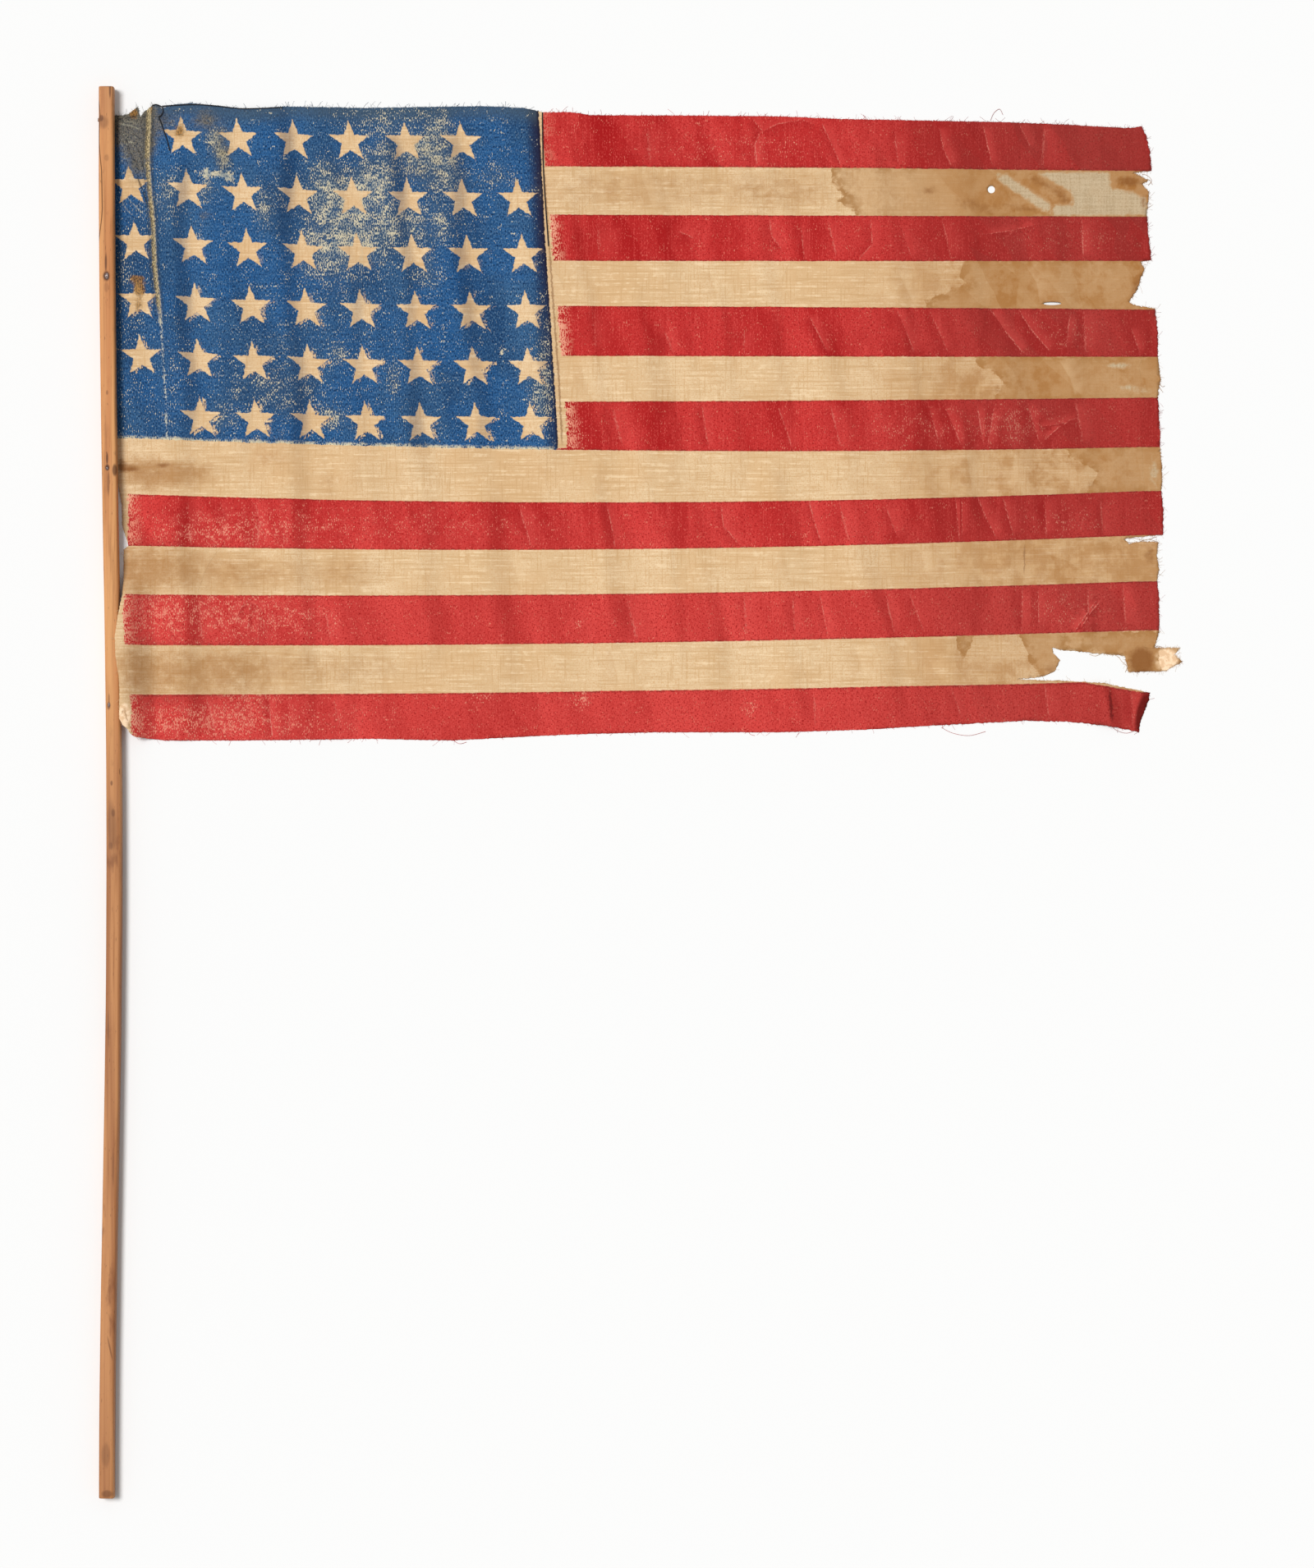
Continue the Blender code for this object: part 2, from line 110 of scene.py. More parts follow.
FLY_EDGE = (
    Point(898.6, 25.2), Point(901.9, 38.4), Point(903.2, 55.5), Point(887.4, 57.4),
    Point(892.7, 59.4), Point(900.5, 64.0), Point(895.3, 67.3), Point(901.2, 73.8),
    Point(899.3, 93.9), Point(900.5, 108.1), Point(903.2, 133.0), Point(894.1, 134.4),
    Point(897.6, 140.8), Point(894.1, 148.6), Point(891.4, 157.8), Point(884.8, 167.1),
    Point(884.1, 169.8), Point(890.5, 172.4), Point(906.5, 175.0), Point(908.7, 195.5),
    Point(908.7, 216.1), Point(911.1, 237.5), Point(908.7, 250.3), Point(910.7, 280.8),
    Point(910.7, 293.6), Point(912.8, 320.7), Point(911.7, 332.0), Point(913.5, 349.1),
    Point(913.3, 370.9), Point(881.3, 373.6), Point(880.1, 374.7), Point(883.8, 378.5),
    Point(895.3, 376.5), Point(909.3, 377.2), Point(908.0, 389.3), Point(909.9, 400.7),
    Point(908.0, 411.7), Point(909.9, 425.9), Point(909.9, 455.0), Point(905.7, 468.5),
    Point(928.2, 468.5), Point(923.2, 474.2), Point(930.3, 480.6), Point(916.1, 488.5),
    Point(904.0, 489.2), Point(883.3, 489.6), Point(882.0, 483.2), Point(880.1, 475.7),
    Point(872.5, 474.9), Point(847.1, 472.5), Point(824.2, 470.5), Point(817.9, 468.5),
    Point(818.5, 473.1), Point(824.2, 479.4), Point(821.6, 484.5), Point(819.1, 489.6),
    Point(806.4, 494.2), Point(788.1, 495.6), Point(809.0, 496.8), Point(826.8, 497.0),
    Point(862.3, 499.1), Point(891.5, 505.4), Point(902.3, 507.4), Point(901.1, 513.7),
    Point(894.0, 531.5), Point(892.2, 542.3),
)
BOTTOM_EDGE = (
    Point(889.0, 541.0), Point(867.3, 536.5), Point(834.4, 532.8), Point(795.3, 531.8),
    Point(724.2, 535.4), Point(653.1, 539.6), Point(582.0, 541.8), Point(475.3, 541.8),
    Point(418.4, 543.2), Point(379.3, 544.6), Point(297.6, 548.9), Point(226.5, 547.5),
    Point(119.8, 548.9), Point(48.7, 548.9), Point(24.7, 546.0),
)
HOIST_EDGE = (
    Point(21.8, 544.2), Point(18.8, 539.5), Point(14.1, 535.4), Point(11.4, 529.7),
    Point(11.7, 504.1), Point(11.2, 495.6), Point(8.2, 475.7), Point(7.7, 459.3),
    Point(9.5, 447.2), Point(11.7, 433.4), Point(13.6, 422.3), Point(13.6, 383.9),
    Point(17.7, 380.4), Point(12.5, 362.6), Point(12.0, 345.5), Point(10.5, 335.6),
    Point(9.6, 329.9), Point(7.5, 321.5),
)
TOP_LINE = tuple(point for point in TOP_EDGE if point.along > 28.0)
HOLES = (
    Hole(764.7, 71.8, 3.2, 3.2),
    Hole(817.3, 170.6, 7.8, 1.4),
    Hole(0.6, 147.9, 1.1, 1.1),
    Hole(1.2, 314.3, 1.1, 1.1),
)

# The folds that the cloth lies in: the line is the steep side, towards the fly
FOLDS = (
    Fold(64, 43, 74, 544, 4.2, 21, 10),
    Fold(102, 36, 122, 306, 2.4, 18, 10),
    Fold(123, 334, 120, 526, 2.2, 18, 10),
    Fold(152, 14, 177, 533, 4.4, 22, 10),
    Fold(199, 28, 231, 334, 3.2, 20, 10),
    Fold(215, 405, 209, 544, 2.2, 18, 10),
    Fold(249, 28, 271, 306, 4.2, 22, 10),
    Fold(276, 306, 286, 476, 3.2, 20, 10),
    Fold(296, 21, 326, 306, 3.4, 20, 10),
    Fold(333, 327, 352, 498, 3.4, 20, 11),
    Fold(370, 14, 387, 306, 3.0, 18, 11),
    Fold(404, 50, 445, 455, 2.4, 17, 9),
    Fold(461, 21, 497, 156, 2.0, 16, 9),
    Fold(454, 178, 499, 462, 2.4, 16, 9),
    Fold(475, 195, 538, 491, 2.4, 16, 9),
    Fold(551, 25, 595, 277, 2.4, 18, 9),
    Fold(525, 142, 549, 327, 1.8, 15, 9),
    Fold(582, 316, 605, 525, 3.0, 18, 9),
    Fold(614, 25, 650, 142, 2.0, 16, 9),
    Fold(623, 192, 689, 519, 2.6, 18, 9),
    Fold(670, 30, 743, 525, 2.4, 18, 9),
    Fold(741, 30, 755, 195, 2.0, 17, 9),
    Fold(746, 275, 755, 455, 2.4, 17, 9),
    Fold(780, 195, 807, 359, 2.4, 17, 9),
    Fold(786, 348, 788, 455, 2.6, 14, 9),
    Fold(824, 78, 859, 363, 2.4, 18, 9),
    Fold(849, 405, 852, 462, 2.0, 14, 8),
    Fold(863, 249, 891, 334, 1.8, 14, 8),
    Fold(866, 501, 871, 540, 4.0, 12, 7),
)

# Finer ridges and troughs on them, from the photograph
WRINKLES = (
    Wrinkle(683, 150, 731, 291, 0.7, 6),
    Wrinkle(713, 347, 740, 560, 0.6, 6),
    Wrinkle(720, 574, 746, 812, 0.7, 6),
    Wrinkle(780, 150, 814, 291, 0.7, 6),
    Wrinkle(772, 347, 797, 517, 0.8, 6),
    Wrinkle(809, 574, 826, 812, 0.6, 6),
    Wrinkle(830, 347, 852, 574, 0.8, 6),
    Wrinkle(907, 150, 965, 291, 0.8, 6),
    Wrinkle(873, 347, 903, 574, 0.6, 5),
    Wrinkle(995, 150, 1048, 291, 0.7, 6),
    Wrinkle(965, 600, 986, 812, 0.6, 6),
    Wrinkle(1010, 574, 1064, 750, 0.7, 6),
    Wrinkle(1074, 150, 1141, 291, 0.7, 6),
    Wrinkle(1095, 404, 1126, 517, 0.6, 5),
    Wrinkle(1092, 574, 1115, 868, 0.6, 6),
    Wrinkle(1183, 291, 1194, 404, 0.7, 5),
    Wrinkle(1164, 462, 1182, 635, 0.7, 5),
    Wrinkle(1226, 172, 1276, 234, 0.7, 5),
    Wrinkle(1296, 404, 1307, 517, 0.6, 5),
    Wrinkle(1286, 700, 1290, 770, 0.8, 5),
    Wrinkle(1338, 600, 1325, 770, 0.7, 5),
    Wrinkle(1222, 840, 1225, 885, 0.7, 6),
    Wrinkle(438, 205, 440, 338, 0.9, 9),
    Wrinkle(418, 150, 424, 210, 0.6, 9),
    Wrinkle(273, 300, 305, 460, 0.7, 10),
)

# The corner that is bunched at the top tack, and the hard pleat beside it
CORNER_PLEATS = (
    Wrinkle(141, 150, 152, 240, 1.5, 3.2),
    Wrinkle(142, 152, 168, 255, 1.8, 3.4),
    Wrinkle(144, 146, 181, 262, 1.6, 3.2),
    Wrinkle(150, 142, 178, 205, 1.3, 2.8),
    Wrinkle(180, 140, 181, 215, 2.2, 3.6),
    Wrinkle(181, 215, 189, 350, 1.6, 2.8),
    Wrinkle(189, 350, 203, 540, 0.6, 2.6),
    Wrinkle(187, 128, 196, 150, 2.0, 4.5),
    Wrinkle(197, 133, 345, 136, 1.0, 2.4),
    Wrinkle(152, 560, 190, 572, 0.9, 3.0),
    Wrinkle(148, 575, 146, 596, 1.2, 2.4),
)


def ease(value, start, end):
    share = np.clip((value - start) / (end - start), 0.0, 1.0)
    return share * share * (3.0 - 2.0 * share)


def stick_axis(drop):
    """How far the bent stick's middle stands off the straight line at this drop."""
    share = np.clip((drop + STICK_HEAD) / STICK_LENGTH, 0.0, 1.0)
    return STICK_CURVE * np.sin(math.pi * share ** CURVE_SKEW) ** 2


def stick_rise(drop):
    """The stick's underside: over the pinned cloth at the top, on the surface below."""
    return STICK_LIFT * (1.0 - ease(drop, SETTLE_START, SETTLE_END))


def fold_rise(fold, along, drop):
    """One fold of the solid, wandering a little and softer on its steep side."""
    share = (drop - fold.top_drop) / (fold.foot_drop - fold.top_drop)
    line = fold.top_along + share * (fold.foot_along - fold.top_along)
    line = line + 2.6 * np.sin(drop / 37.0 + fold.top_along) + 1.2 * np.sin(drop / 15.0 + fold.rise)
    from_crest = along - line + fold.lee
    width = np.where(from_crest > 0.0, fold.lee * 1.35, fold.luff)
    appears = ease(drop, fold.top_drop - FOLD_FADE_OUTSIDE, fold.top_drop + FOLD_FADE_INSIDE)
    ends = ease(drop, fold.foot_drop - FOLD_FADE_INSIDE, fold.foot_drop + FOLD_FADE_OUTSIDE)
    swell = 0.80 + 0.16 * np.sin(drop / 48.0 + fold.foot_along)
    return fold.rise * swell * np.exp(-(from_crest / width) ** 2) * appears * (1.0 - ends)


def beside_line(x, y, end_x, end_y, along, drop):
    """Distance across a straight line on the flag, and how far along it, from 0 to 1."""
    start = on_flag(x, y)
    end = on_flag(end_x, end_y)
    run = math.hypot(end.along - start.along, end.drop - start.drop)
    way = Point((end.along - start.along) / run, (end.drop - start.drop) / run)
    share = ((along - start.along) * way.along + (drop - start.drop) * way.drop) / run
    across = (along - start.along) * way.drop - (drop - start.drop) * way.along
    return across, share, run


def wrinkle_rise(wrinkle, along, drop):
    across, share, run = beside_line(*wrinkle[:4], along, drop)
    fade = 0.5 * wrinkle.width * 3.0 / run
    ends = ease(share, -fade, fade) * (1.0 - ease(share, 1.0 - fade, 1.0 + fade))
    return wrinkle.rise * np.exp(-(across / wrinkle.width) ** 2) * ends


def cloth_rise(along, drop):
    """The cloth's underside: pinned under the stick, free, then up over its shoulder."""
    past_stick = along - stick_axis(drop) - STICK_SIDE / 2.0
    beside = 1.0 - ease(past_stick, CLIMB_TOP, CLIMB_FOOT)
    pinned = PINNED_RISE * (1.0 - ease(drop, PINNED_END, FREE_START)) * beside
    shoulder = stick_rise(drop) + STICK_SIDE + DRAPE_CLEARANCE
    over = shoulder * ease(drop, CLIMB_START, CLIMB_END) * beside
    waves = sum(fold_rise(fold, along, drop) for fold in FOLDS)
    waves = np.maximum(0.0, waves - CONTACT_DEPTH) * ease(past_stick, 0.0, FOLD_FREE_OF_STICK)
    fine = sum(wrinkle_rise(wrinkle, along, drop) for wrinkle in WRINKLES)
    pleats = sum(wrinkle_rise(pleat, along, drop) for pleat in CORNER_PLEATS)
    pleats = pleats * ease(past_stick, 0.0, 5.0)
    return np.maximum(pinned, over) + waves + fine + pleats + MUSLIN_LIFT


def cloth_outline():
    """The whole edge in one loop: top, fly, bottom, free hoist, then under the stick."""
    points = list(TOP_EDGE + FLY_EDGE + BOTTOM_EDGE + HOIST_EDGE)
    tucked_steps = 5
    for step in range(tucked_steps + 1):
        drop = PINNED_END + (TOP_EDGE[0].drop - PINNED_END) * step / tucked_steps
        points.append(Point(float(stick_axis(drop)) - TUCK, drop))
    return points


def cut_raggedly(points, chance):
    """The outline in short steps, each a little off, as torn and frayed cloth is cut."""
    ragged = []
    for start, end in zip(points, points[1:] + points[:1]):
        run = math.hypot(end.along - start.along, end.drop - start.drop)
        steps = max(1, round(run / CUT_STEP))
        torn = start.along > 870.0 or start.drop > 440.0 and start.along > 780.0
        rough = 0.45 if torn else 0.22
        for step in range(steps):
            share = step / steps
            along = start.along + share * (end.along - start.along)
            drop = start.drop + share * (end.drop - start.drop)
            off = chance.uniform(-rough, rough)
            out = ((end.drop - start.drop) / run, -(end.along - start.along) / run)
            ragged.append(Point(along + out[0] * off, drop + out[1] * off))
    return ragged


def oval(hole, steps=14):
    points = []
    for step in range(steps):
        angle = 2.0 * math.pi * step / steps
        along = hole.along + hole.half_length * math.cos(angle)
        points.append(Point(along, hole.drop + hole.half_width * math.sin(angle)))
    return points


def new_piece(name, mesh):
    made = bpy.data.objects.new(name, mesh)
    bpy.context.scene.collection.objects.link(made)
    return made


def outline_prism(loops, depth):
    """A flat outline with its holes, as a closed prism to cut the cloth with."""
    flat = bpy.data.curves.new("cloth_pattern", "CURVE")
    flat.dimensions = "2D"
    flat.fill_mode = "BOTH"
    flat.extrude = depth * MM
    for loop in loops:
        spline = flat.splines.new("POLY")
        spline.points.add(len(loop) - 1)
        spline.use_cyclic_u = True
        for knot, point in zip(spline.points, loop):
            knot.co = (*placed(*point), 1.0)
    drawn = new_piece("cloth_pattern", flat)
    bpy.context.view_layer.update()
    evaluated = drawn.evaluated_get(bpy.context.evaluated_depsgraph_get())
    solid = bpy.data.meshes.new_from_object(evaluated)
    bpy.data.objects.remove(drawn, do_unlink=True)
    welded = bmesh.new()
    welded.from_mesh(solid)
    bmesh.ops.remove_doubles(welded, verts=welded.verts, dist=0.005 * MM)
    bmesh.ops.recalc_face_normals(welded, faces=welded.faces)
    welded.to_mesh(solid)
    welded.free()
    return new_piece("cloth_prism", solid)


def applied(piece):
    """The piece's mesh with its modifiers made part of it."""
    bpy.context.view_layer.update()
    evaluated = piece.evaluated_get(bpy.context.evaluated_depsgraph_get())
    mesh = bpy.data.meshes.new_from_object(evaluated)
    piece.modifiers.clear()
    piece.data = mesh
    return mesh


def muslin_slab(outline):
    """A closed flat slab of small squares, as thick as the muslin."""
    end = max(point.along for point in outline) + 2.0
    start = -TUCK - 2.0
    narrow = np.arange(start, NARROW_REACH, NARROW_COLUMN)
    wide = np.linspace(narrow[-1] + NARROW_COLUMN, end, round((end - NARROW_REACH) / WIDE_COLUMN))
    columns = np.concatenate((narrow, wide))
    top = min(point.drop for point in outline) - 2.0
    foot = max(point.drop for point in outline) + 2.0
    rows = round((foot - top) / ROW_STEP)
    slab = bmesh.new()
    bmesh.ops.create_grid(slab, x_segments=len(columns) - 1, y_segments=rows, size=0.5)
    for vertex in slab.verts:
        along = float(columns[round((vertex.co.x + 0.5) * (len(columns) - 1))])
        vertex.co = placed(along, foot + (vertex.co.y + 0.5) * (top - foot))
    bmesh.ops.solidify(slab, geom=slab.faces[:], thickness=-MUSLIN_THICKNESS * MM)
    bmesh.ops.recalc_face_normals(slab, faces=slab.faces)
    mesh = bpy.data.meshes.new("muslin_sheet")
    slab.to_mesh(mesh)
    slab.free()
    return mesh


def read_places(mesh):
    """Every vertex as along, drop and rise in millimetres."""
    raw = np.empty(len(mesh.vertices) * 3, dtype=np.float64)
    mesh.vertices.foreach_get("co", raw)
    raw = raw.reshape(-1, 3) / MM
    return raw[:, 0] + MIDDLE_ALONG, MIDDLE_DROP - raw[:, 1], raw[:, 2]


def write_places(mesh, along, drop, rise):
    raw = np.stack((along - MIDDLE_ALONG, MIDDLE_DROP - drop, rise), axis=1) * MM
    mesh.vertices.foreach_set("co", raw.astype(np.float32).ravel())
    mesh.update()


def make_sheet(chance):
    """The muslin: a flat slab cut to the flag's torn outline, then laid in its folds."""
    outline = cloth_outline()
    sheet = new_piece("muslin_sheet", muslin_slab(outline))
    loops = [cut_raggedly(outline, chance)] + [oval(hole) for hole in HOLES]
    prism = outline_prism(loops, 5.0)
    trim = sheet.modifiers.new("cut", "BOOLEAN")
    trim.operation = "INTERSECT"
    trim.solver = "EXACT"
    trim.object = prism
    mesh = applied(sheet)
    bpy.data.objects.remove(prism, do_unlink=True)
    along, drop, rise = read_places(mesh)
    write_places(mesh, along, drop, cloth_rise(along, drop) + rise - rise.min())
    return sheet


# What the print, its wear and the painted shade look like over the flag
# Each stripe's upper edge at the hoist, in the middle and at the fly, and the flag's foot
STRIPE_ENDS = (160.0, 1390.0)
STRIPE_EDGES = (
    (112, 112, 112),
    (203, 204, 209),
    (260, 262, 264),
    (316, 318, 318),
    (372, 373, 377),
    (432, 434, 435),
    (488, 489, 484),
    (534, 549, 545),
    (602, 612, 598),
    (665, 669, 652),
    (724, 723, 708),
    (786, 783, 768),
    (846, 841, 829),
    (930, 930, 930),
)
CURL_STARTS = 1320.0
CURL_LIFT = 0.2
CANTON_EDGE = ((136, 655.5), (170, 658), (290, 664), (400, 671), (545, 680))
RED_STARTS = ((172, 661), (234, 667), (291, 672), (404, 681), (517, 690), (547, 690))
LOWER_RED_STARTS = ((549, 156), (635, 156), (750, 152), (868, 162))
STAR_RADIUS = 25.3
STAR_SLANT = 0.085
STAR_COLUMN_TILT = (0.0, 0.06, 0.02, 0.08, 0.02, 0.01, 0.02, 0.01)
# Six rows of eight places, which sag towards the canton's right edge
STAR_SAG_POWER = 2.4
STAR_PLEAT_SHIFT = 3.0
StarRow = namedtuple("StarRow", "left pitch top sag missing")
STAR_ROWS = (
    StarRow(154, 68, 164, 10, (0, 7)),
    StarRow(162, 67, 227, 16, ()),
    StarRow(168, 67, 295, 16, ()),
    StarRow(172, 67, 366, 14, ()),
    StarRow(175, 67, 434, 14, ()),
    StarRow(178, 67, 506, 10, (0,)),
)

# Where the print is rubbed through to the cloth
ABRASION = (
    Spot(300, 640, 160, 26, 0, 0.34),
    Spot(158, 330, 22, 130, 0, 0.30),
    Spot(215, 455, 22, 70, 0, 0.20),
    Spot(330, 755, 100, 28, 0, 0.34),
    Spot(190, 750, 40, 34, 0, 0.42),
    Spot(300, 878, 160, 24, 0, 0.38),
    Spot(560, 640, 160, 20, 0, 0.20),
    Spot(1120, 520, 80, 24, 0, 0.25),
    Spot(1300, 290, 90, 20, 0, 0.25),
    Spot(395, 232, 22, 40, 0, 0.70),
    Spot(425, 265, 40, 45, 0, 0.75),
    Spot(452, 225, 30, 30, 0, 0.75),
    Spot(420, 300, 60, 22, 0, 0.60),
    Spot(400, 320, 35, 30, 0, 0.45),
    Spot(480, 275, 50, 30, 0, 0.55),
    Spot(525, 185, 30, 30, 0, 0.72),
    Spot(545, 215, 25, 26, 0, 0.65),
    Spot(540, 270, 40, 26, 0, 0.45),
    Spot(605, 215, 24, 22, 0, 0.45),
    Spot(465, 150, 60, 22, 0, 0.45),
    Spot(535, 150, 20, 16, 0, 0.50),
    Spot(480, 190, 40, 30, 0, 0.45),
    Spot(262, 168, 12, 14, 0, 0.85),
    Spot(272, 195, 9, 22, -20, 0.85),
    Spot(252, 232, 10, 20, 0, 0.62),
    Spot(322, 255, 14, 22, 0, 0.55),
    Spot(205, 232, 8, 6, 0, 0.70),
    Spot(345, 230, 30, 30, 0, 0.30),
    Spot(520, 335, 18, 18, 0, 0.50),
    Spot(480, 460, 9, 20, 0, 0.50),
    Spot(414, 430, 10, 10, 0, 0.60),
    Spot(660, 480, 18, 40, 0, 0.62),
    Spot(664, 420, 12, 70, 0, 0.50),
    Spot(335, 480, 60, 34, 0, 0.34),
    Spot(400, 510, 24, 14, 0, 0.60),
    Spot(270, 510, 20, 16, 0, 0.50),
    Spot(400, 400, 200, 130, 0, 0.22),
    Spot(200, 240, 30, 40, 0, 0.40),
    Spot(170, 500, 40, 40, 0, 0.16),
    Spot(260, 650, 80, 14, 0, 0.30),
    Spot(250, 735, 90, 40, 0, 0.32),
    Spot(235, 880, 90, 22, 0, 0.42),
    Spot(1235, 518, 50, 26, 0, 0.42),
    Spot(1300, 405, 60, 22, 0, 0.26),
    Spot(1300, 740, 60, 26, 0, 0.28),
    Spot(1290, 635, 60, 20, 0, 0.28),
    Spot(900, 180, 120, 20, 0, 0.22),
    Spot(700, 530, 20, 20, 0, 0.45),
    Spot(707, 852, 12, 10, 0, 0.70),
    Spot(914, 862, 7, 9, 0, 0.62),
    Spot(705, 760, 7, 5, 0, 0.50),
    Spot(585, 850, 20, 8, 0, 0.45),
    Spot(300, 850, 35, 6, 0, 0.70),
)
PATCHES = (
    Spot(276, 215, 9, 5, 8, 1.0),
    Spot(251, 211, 4.5, 5.5, 0, 1.0),
    Spot(262, 214, 12, 3, 0, 0.8),
    Spot(613, 428, 2.6, 4.6, 0, 1.0),
)

# Brown soil over print and cloth alike
SOIL = (
    Spot(215, 575, 50, 14, 0, 0.50),
    Spot(185, 590, 26, 14, 0, 0.40),
    Spot(330, 556, 30, 30, 0, 0.35),
    Spot(400, 590, 16, 20, 0, 0.30),
    Spot(195, 690, 60, 28, 0, 0.45),
    Spot(300, 700, 90, 24, 0, 0.40),
    Spot(420, 700, 60, 24, 0, 0.25),
    Spot(210, 820, 70, 34, 0, 0.45),
    Spot(330, 815, 90, 30, 0, 0.40),
    Spot(450, 815, 60, 24, 0, 0.25),
    Spot(160, 152, 26, 36, 0, 1.0),
    Spot(160, 140, 26, 16, 0, 1.0),
    Spot(172, 186, 14, 34, 10, 0.85),
    Spot(205, 150, 60, 16, 0, 0.30),
    Spot(250, 145, 12, 12, 0, 0.5),
    Spot(270, 180, 14, 30, 0, 0.45),
    Spot(520, 190, 40, 50, 0, 0.25),
    Spot(250, 262, 10, 8, 0, 0.35),
    Spot(175, 570, 34, 16, 0, 0.55),
    Spot(225, 580, 40, 16, 0, 0.35),
    Spot(170, 700, 30, 34, 0, 0.50),
    Spot(230, 690, 60, 24, 0, 0.25),
    Spot(170, 815, 30, 34, 0, 0.45),
    Spot(270, 818, 60, 30, 0, 0.40),
    Spot(240, 870, 100, 30, 0, 0.12),
    Spot(430, 690, 40, 24, 0, 0.15),
    Spot(700, 690, 60, 24, 0, 0.12),
    Spot(780, 230, 140, 30, 0, 0.40),
    Spot(960, 232, 70, 30, 0, 0.38),
    Spot(1180, 172, 90, 40, 0, 0.30),
    Spot(1330, 172, 90, 40, 0, 0.62),
    Spot(1330, 292, 100, 32, 0, 0.30),
    Spot(1385, 300, 20, 32, 0, 0.35),
    Spot(1370, 405, 50, 30, 0, 0.35),
    Spot(1390, 345, 22, 30, 0, 0.45),
    Spot(1385, 520, 40, 30, 0, 0.30),
    Spot(1380, 635, 60, 30, 0, 0.30),
    Spot(1360, 690, 60, 28, 0, 0.45),
    Spot(1395, 690, 24, 30, 0, 0.45),
    Spot(1240, 695, 80, 24, 0, 0.18),
    Spot(1370, 740, 60, 34, 0, 0.32),
    Spot(1150, 805, 130, 26, 0, 0.22),
    Spot(1390, 800, 26, 24, 0, 0.80),
    Spot(1230, 862, 160, 30, 0, 0.22),
    Spot(1340, 882, 60, 8, 0, 0.45),
)

# Tide marks of dirty water, as closed outlines on the white stripes
TIDES = (
    ((1013, 196), (1013, 222), (1030, 236), (1017, 247), (1040, 262), (1046, 275), (1420, 275),
     (1420, 196)),
    ((1174, 314), (1172, 330), (1168, 338), (1178, 346), (1150, 356), (1124, 366), (1128, 376),
     (1140, 386), (1420, 386), (1420, 314)),
    ((1180, 430), (1188, 445), (1208, 453), (1221, 467), (1212, 483), (1215, 494), (1420, 494),
     (1420, 430)),
    ((1291, 540), (1302, 557), (1324, 567), (1333, 579), (1325, 597), (1325, 604), (1420, 604),
     (1420, 540)),
    ((1163, 772), (1166, 788), (1174, 800), (1184, 790), (1184, 772)),
    ((1240, 764), (1242, 784), (1256, 806), (1268, 826), (1300, 832), (1300, 764)),
    ((1290, 768), (1290, 792), (1370, 798), (1372, 820), (1412, 820), (1412, 768)),
)
STAINS = (
    Spot(163, 138, 6, 6, 0, 1.0),
    Spot(184, 134, 2.5, 8, 8, 0.8),
    Spot(190, 577, 30, 9, 0, 0.33),
    Spot(148, 566, 6, 10, 0, 0.6),
    Spot(219, 160, 7, 9, 0, 0.7),
    Spot(166, 340, 10, 5, 0, 1.0),
    Spot(170, 352, 7, 10, 0, 1.0),
    Spot(169, 372, 7, 12, 0, 0.45),
    Spot(580, 378, 7, 3, 0, 0.5),
    Spot(158, 570, 12, 3.4, 0, 0.9),
    Spot(199, 565, 12, 2.6, 0, 0.85),
    Spot(1374, 221, 20, 8, 4, 0.65),
    Spot(1267, 222, 34, 9, 28, 0.46),
    Spot(1296, 243, 14, 7, 50, 0.46),
    Spot(1392, 247, 7, 14, 0, 0.50),
    Spot(1248, 254, 34, 6, 10, 0.44),
    Spot(1190, 252, 44, 12, 16, 0.42),
    Spot(1131, 232, 15, 7, 0, 0.42),
    Spot(163, 860, 2.5, 2.5, 0, 0.9),
    Spot(742, 795, 7, 9, 0, 0.36),
    Spot(1174, 786, 7, 14, 0, 0.36),
    Spot(1280, 814, 12, 10, 0, 0.45),
    Spot(1390, 806, 16, 18, 0, 1.0),
    Spot(1384, 350, 10, 24, 12, 0.5),
    Spot(1328, 590, 8, 10, 0, 0.42),
    Spot(1216, 474, 10, 10, 0, 0.42),
    Spot(1400, 676, 10, 20, 0, 0.45),
)
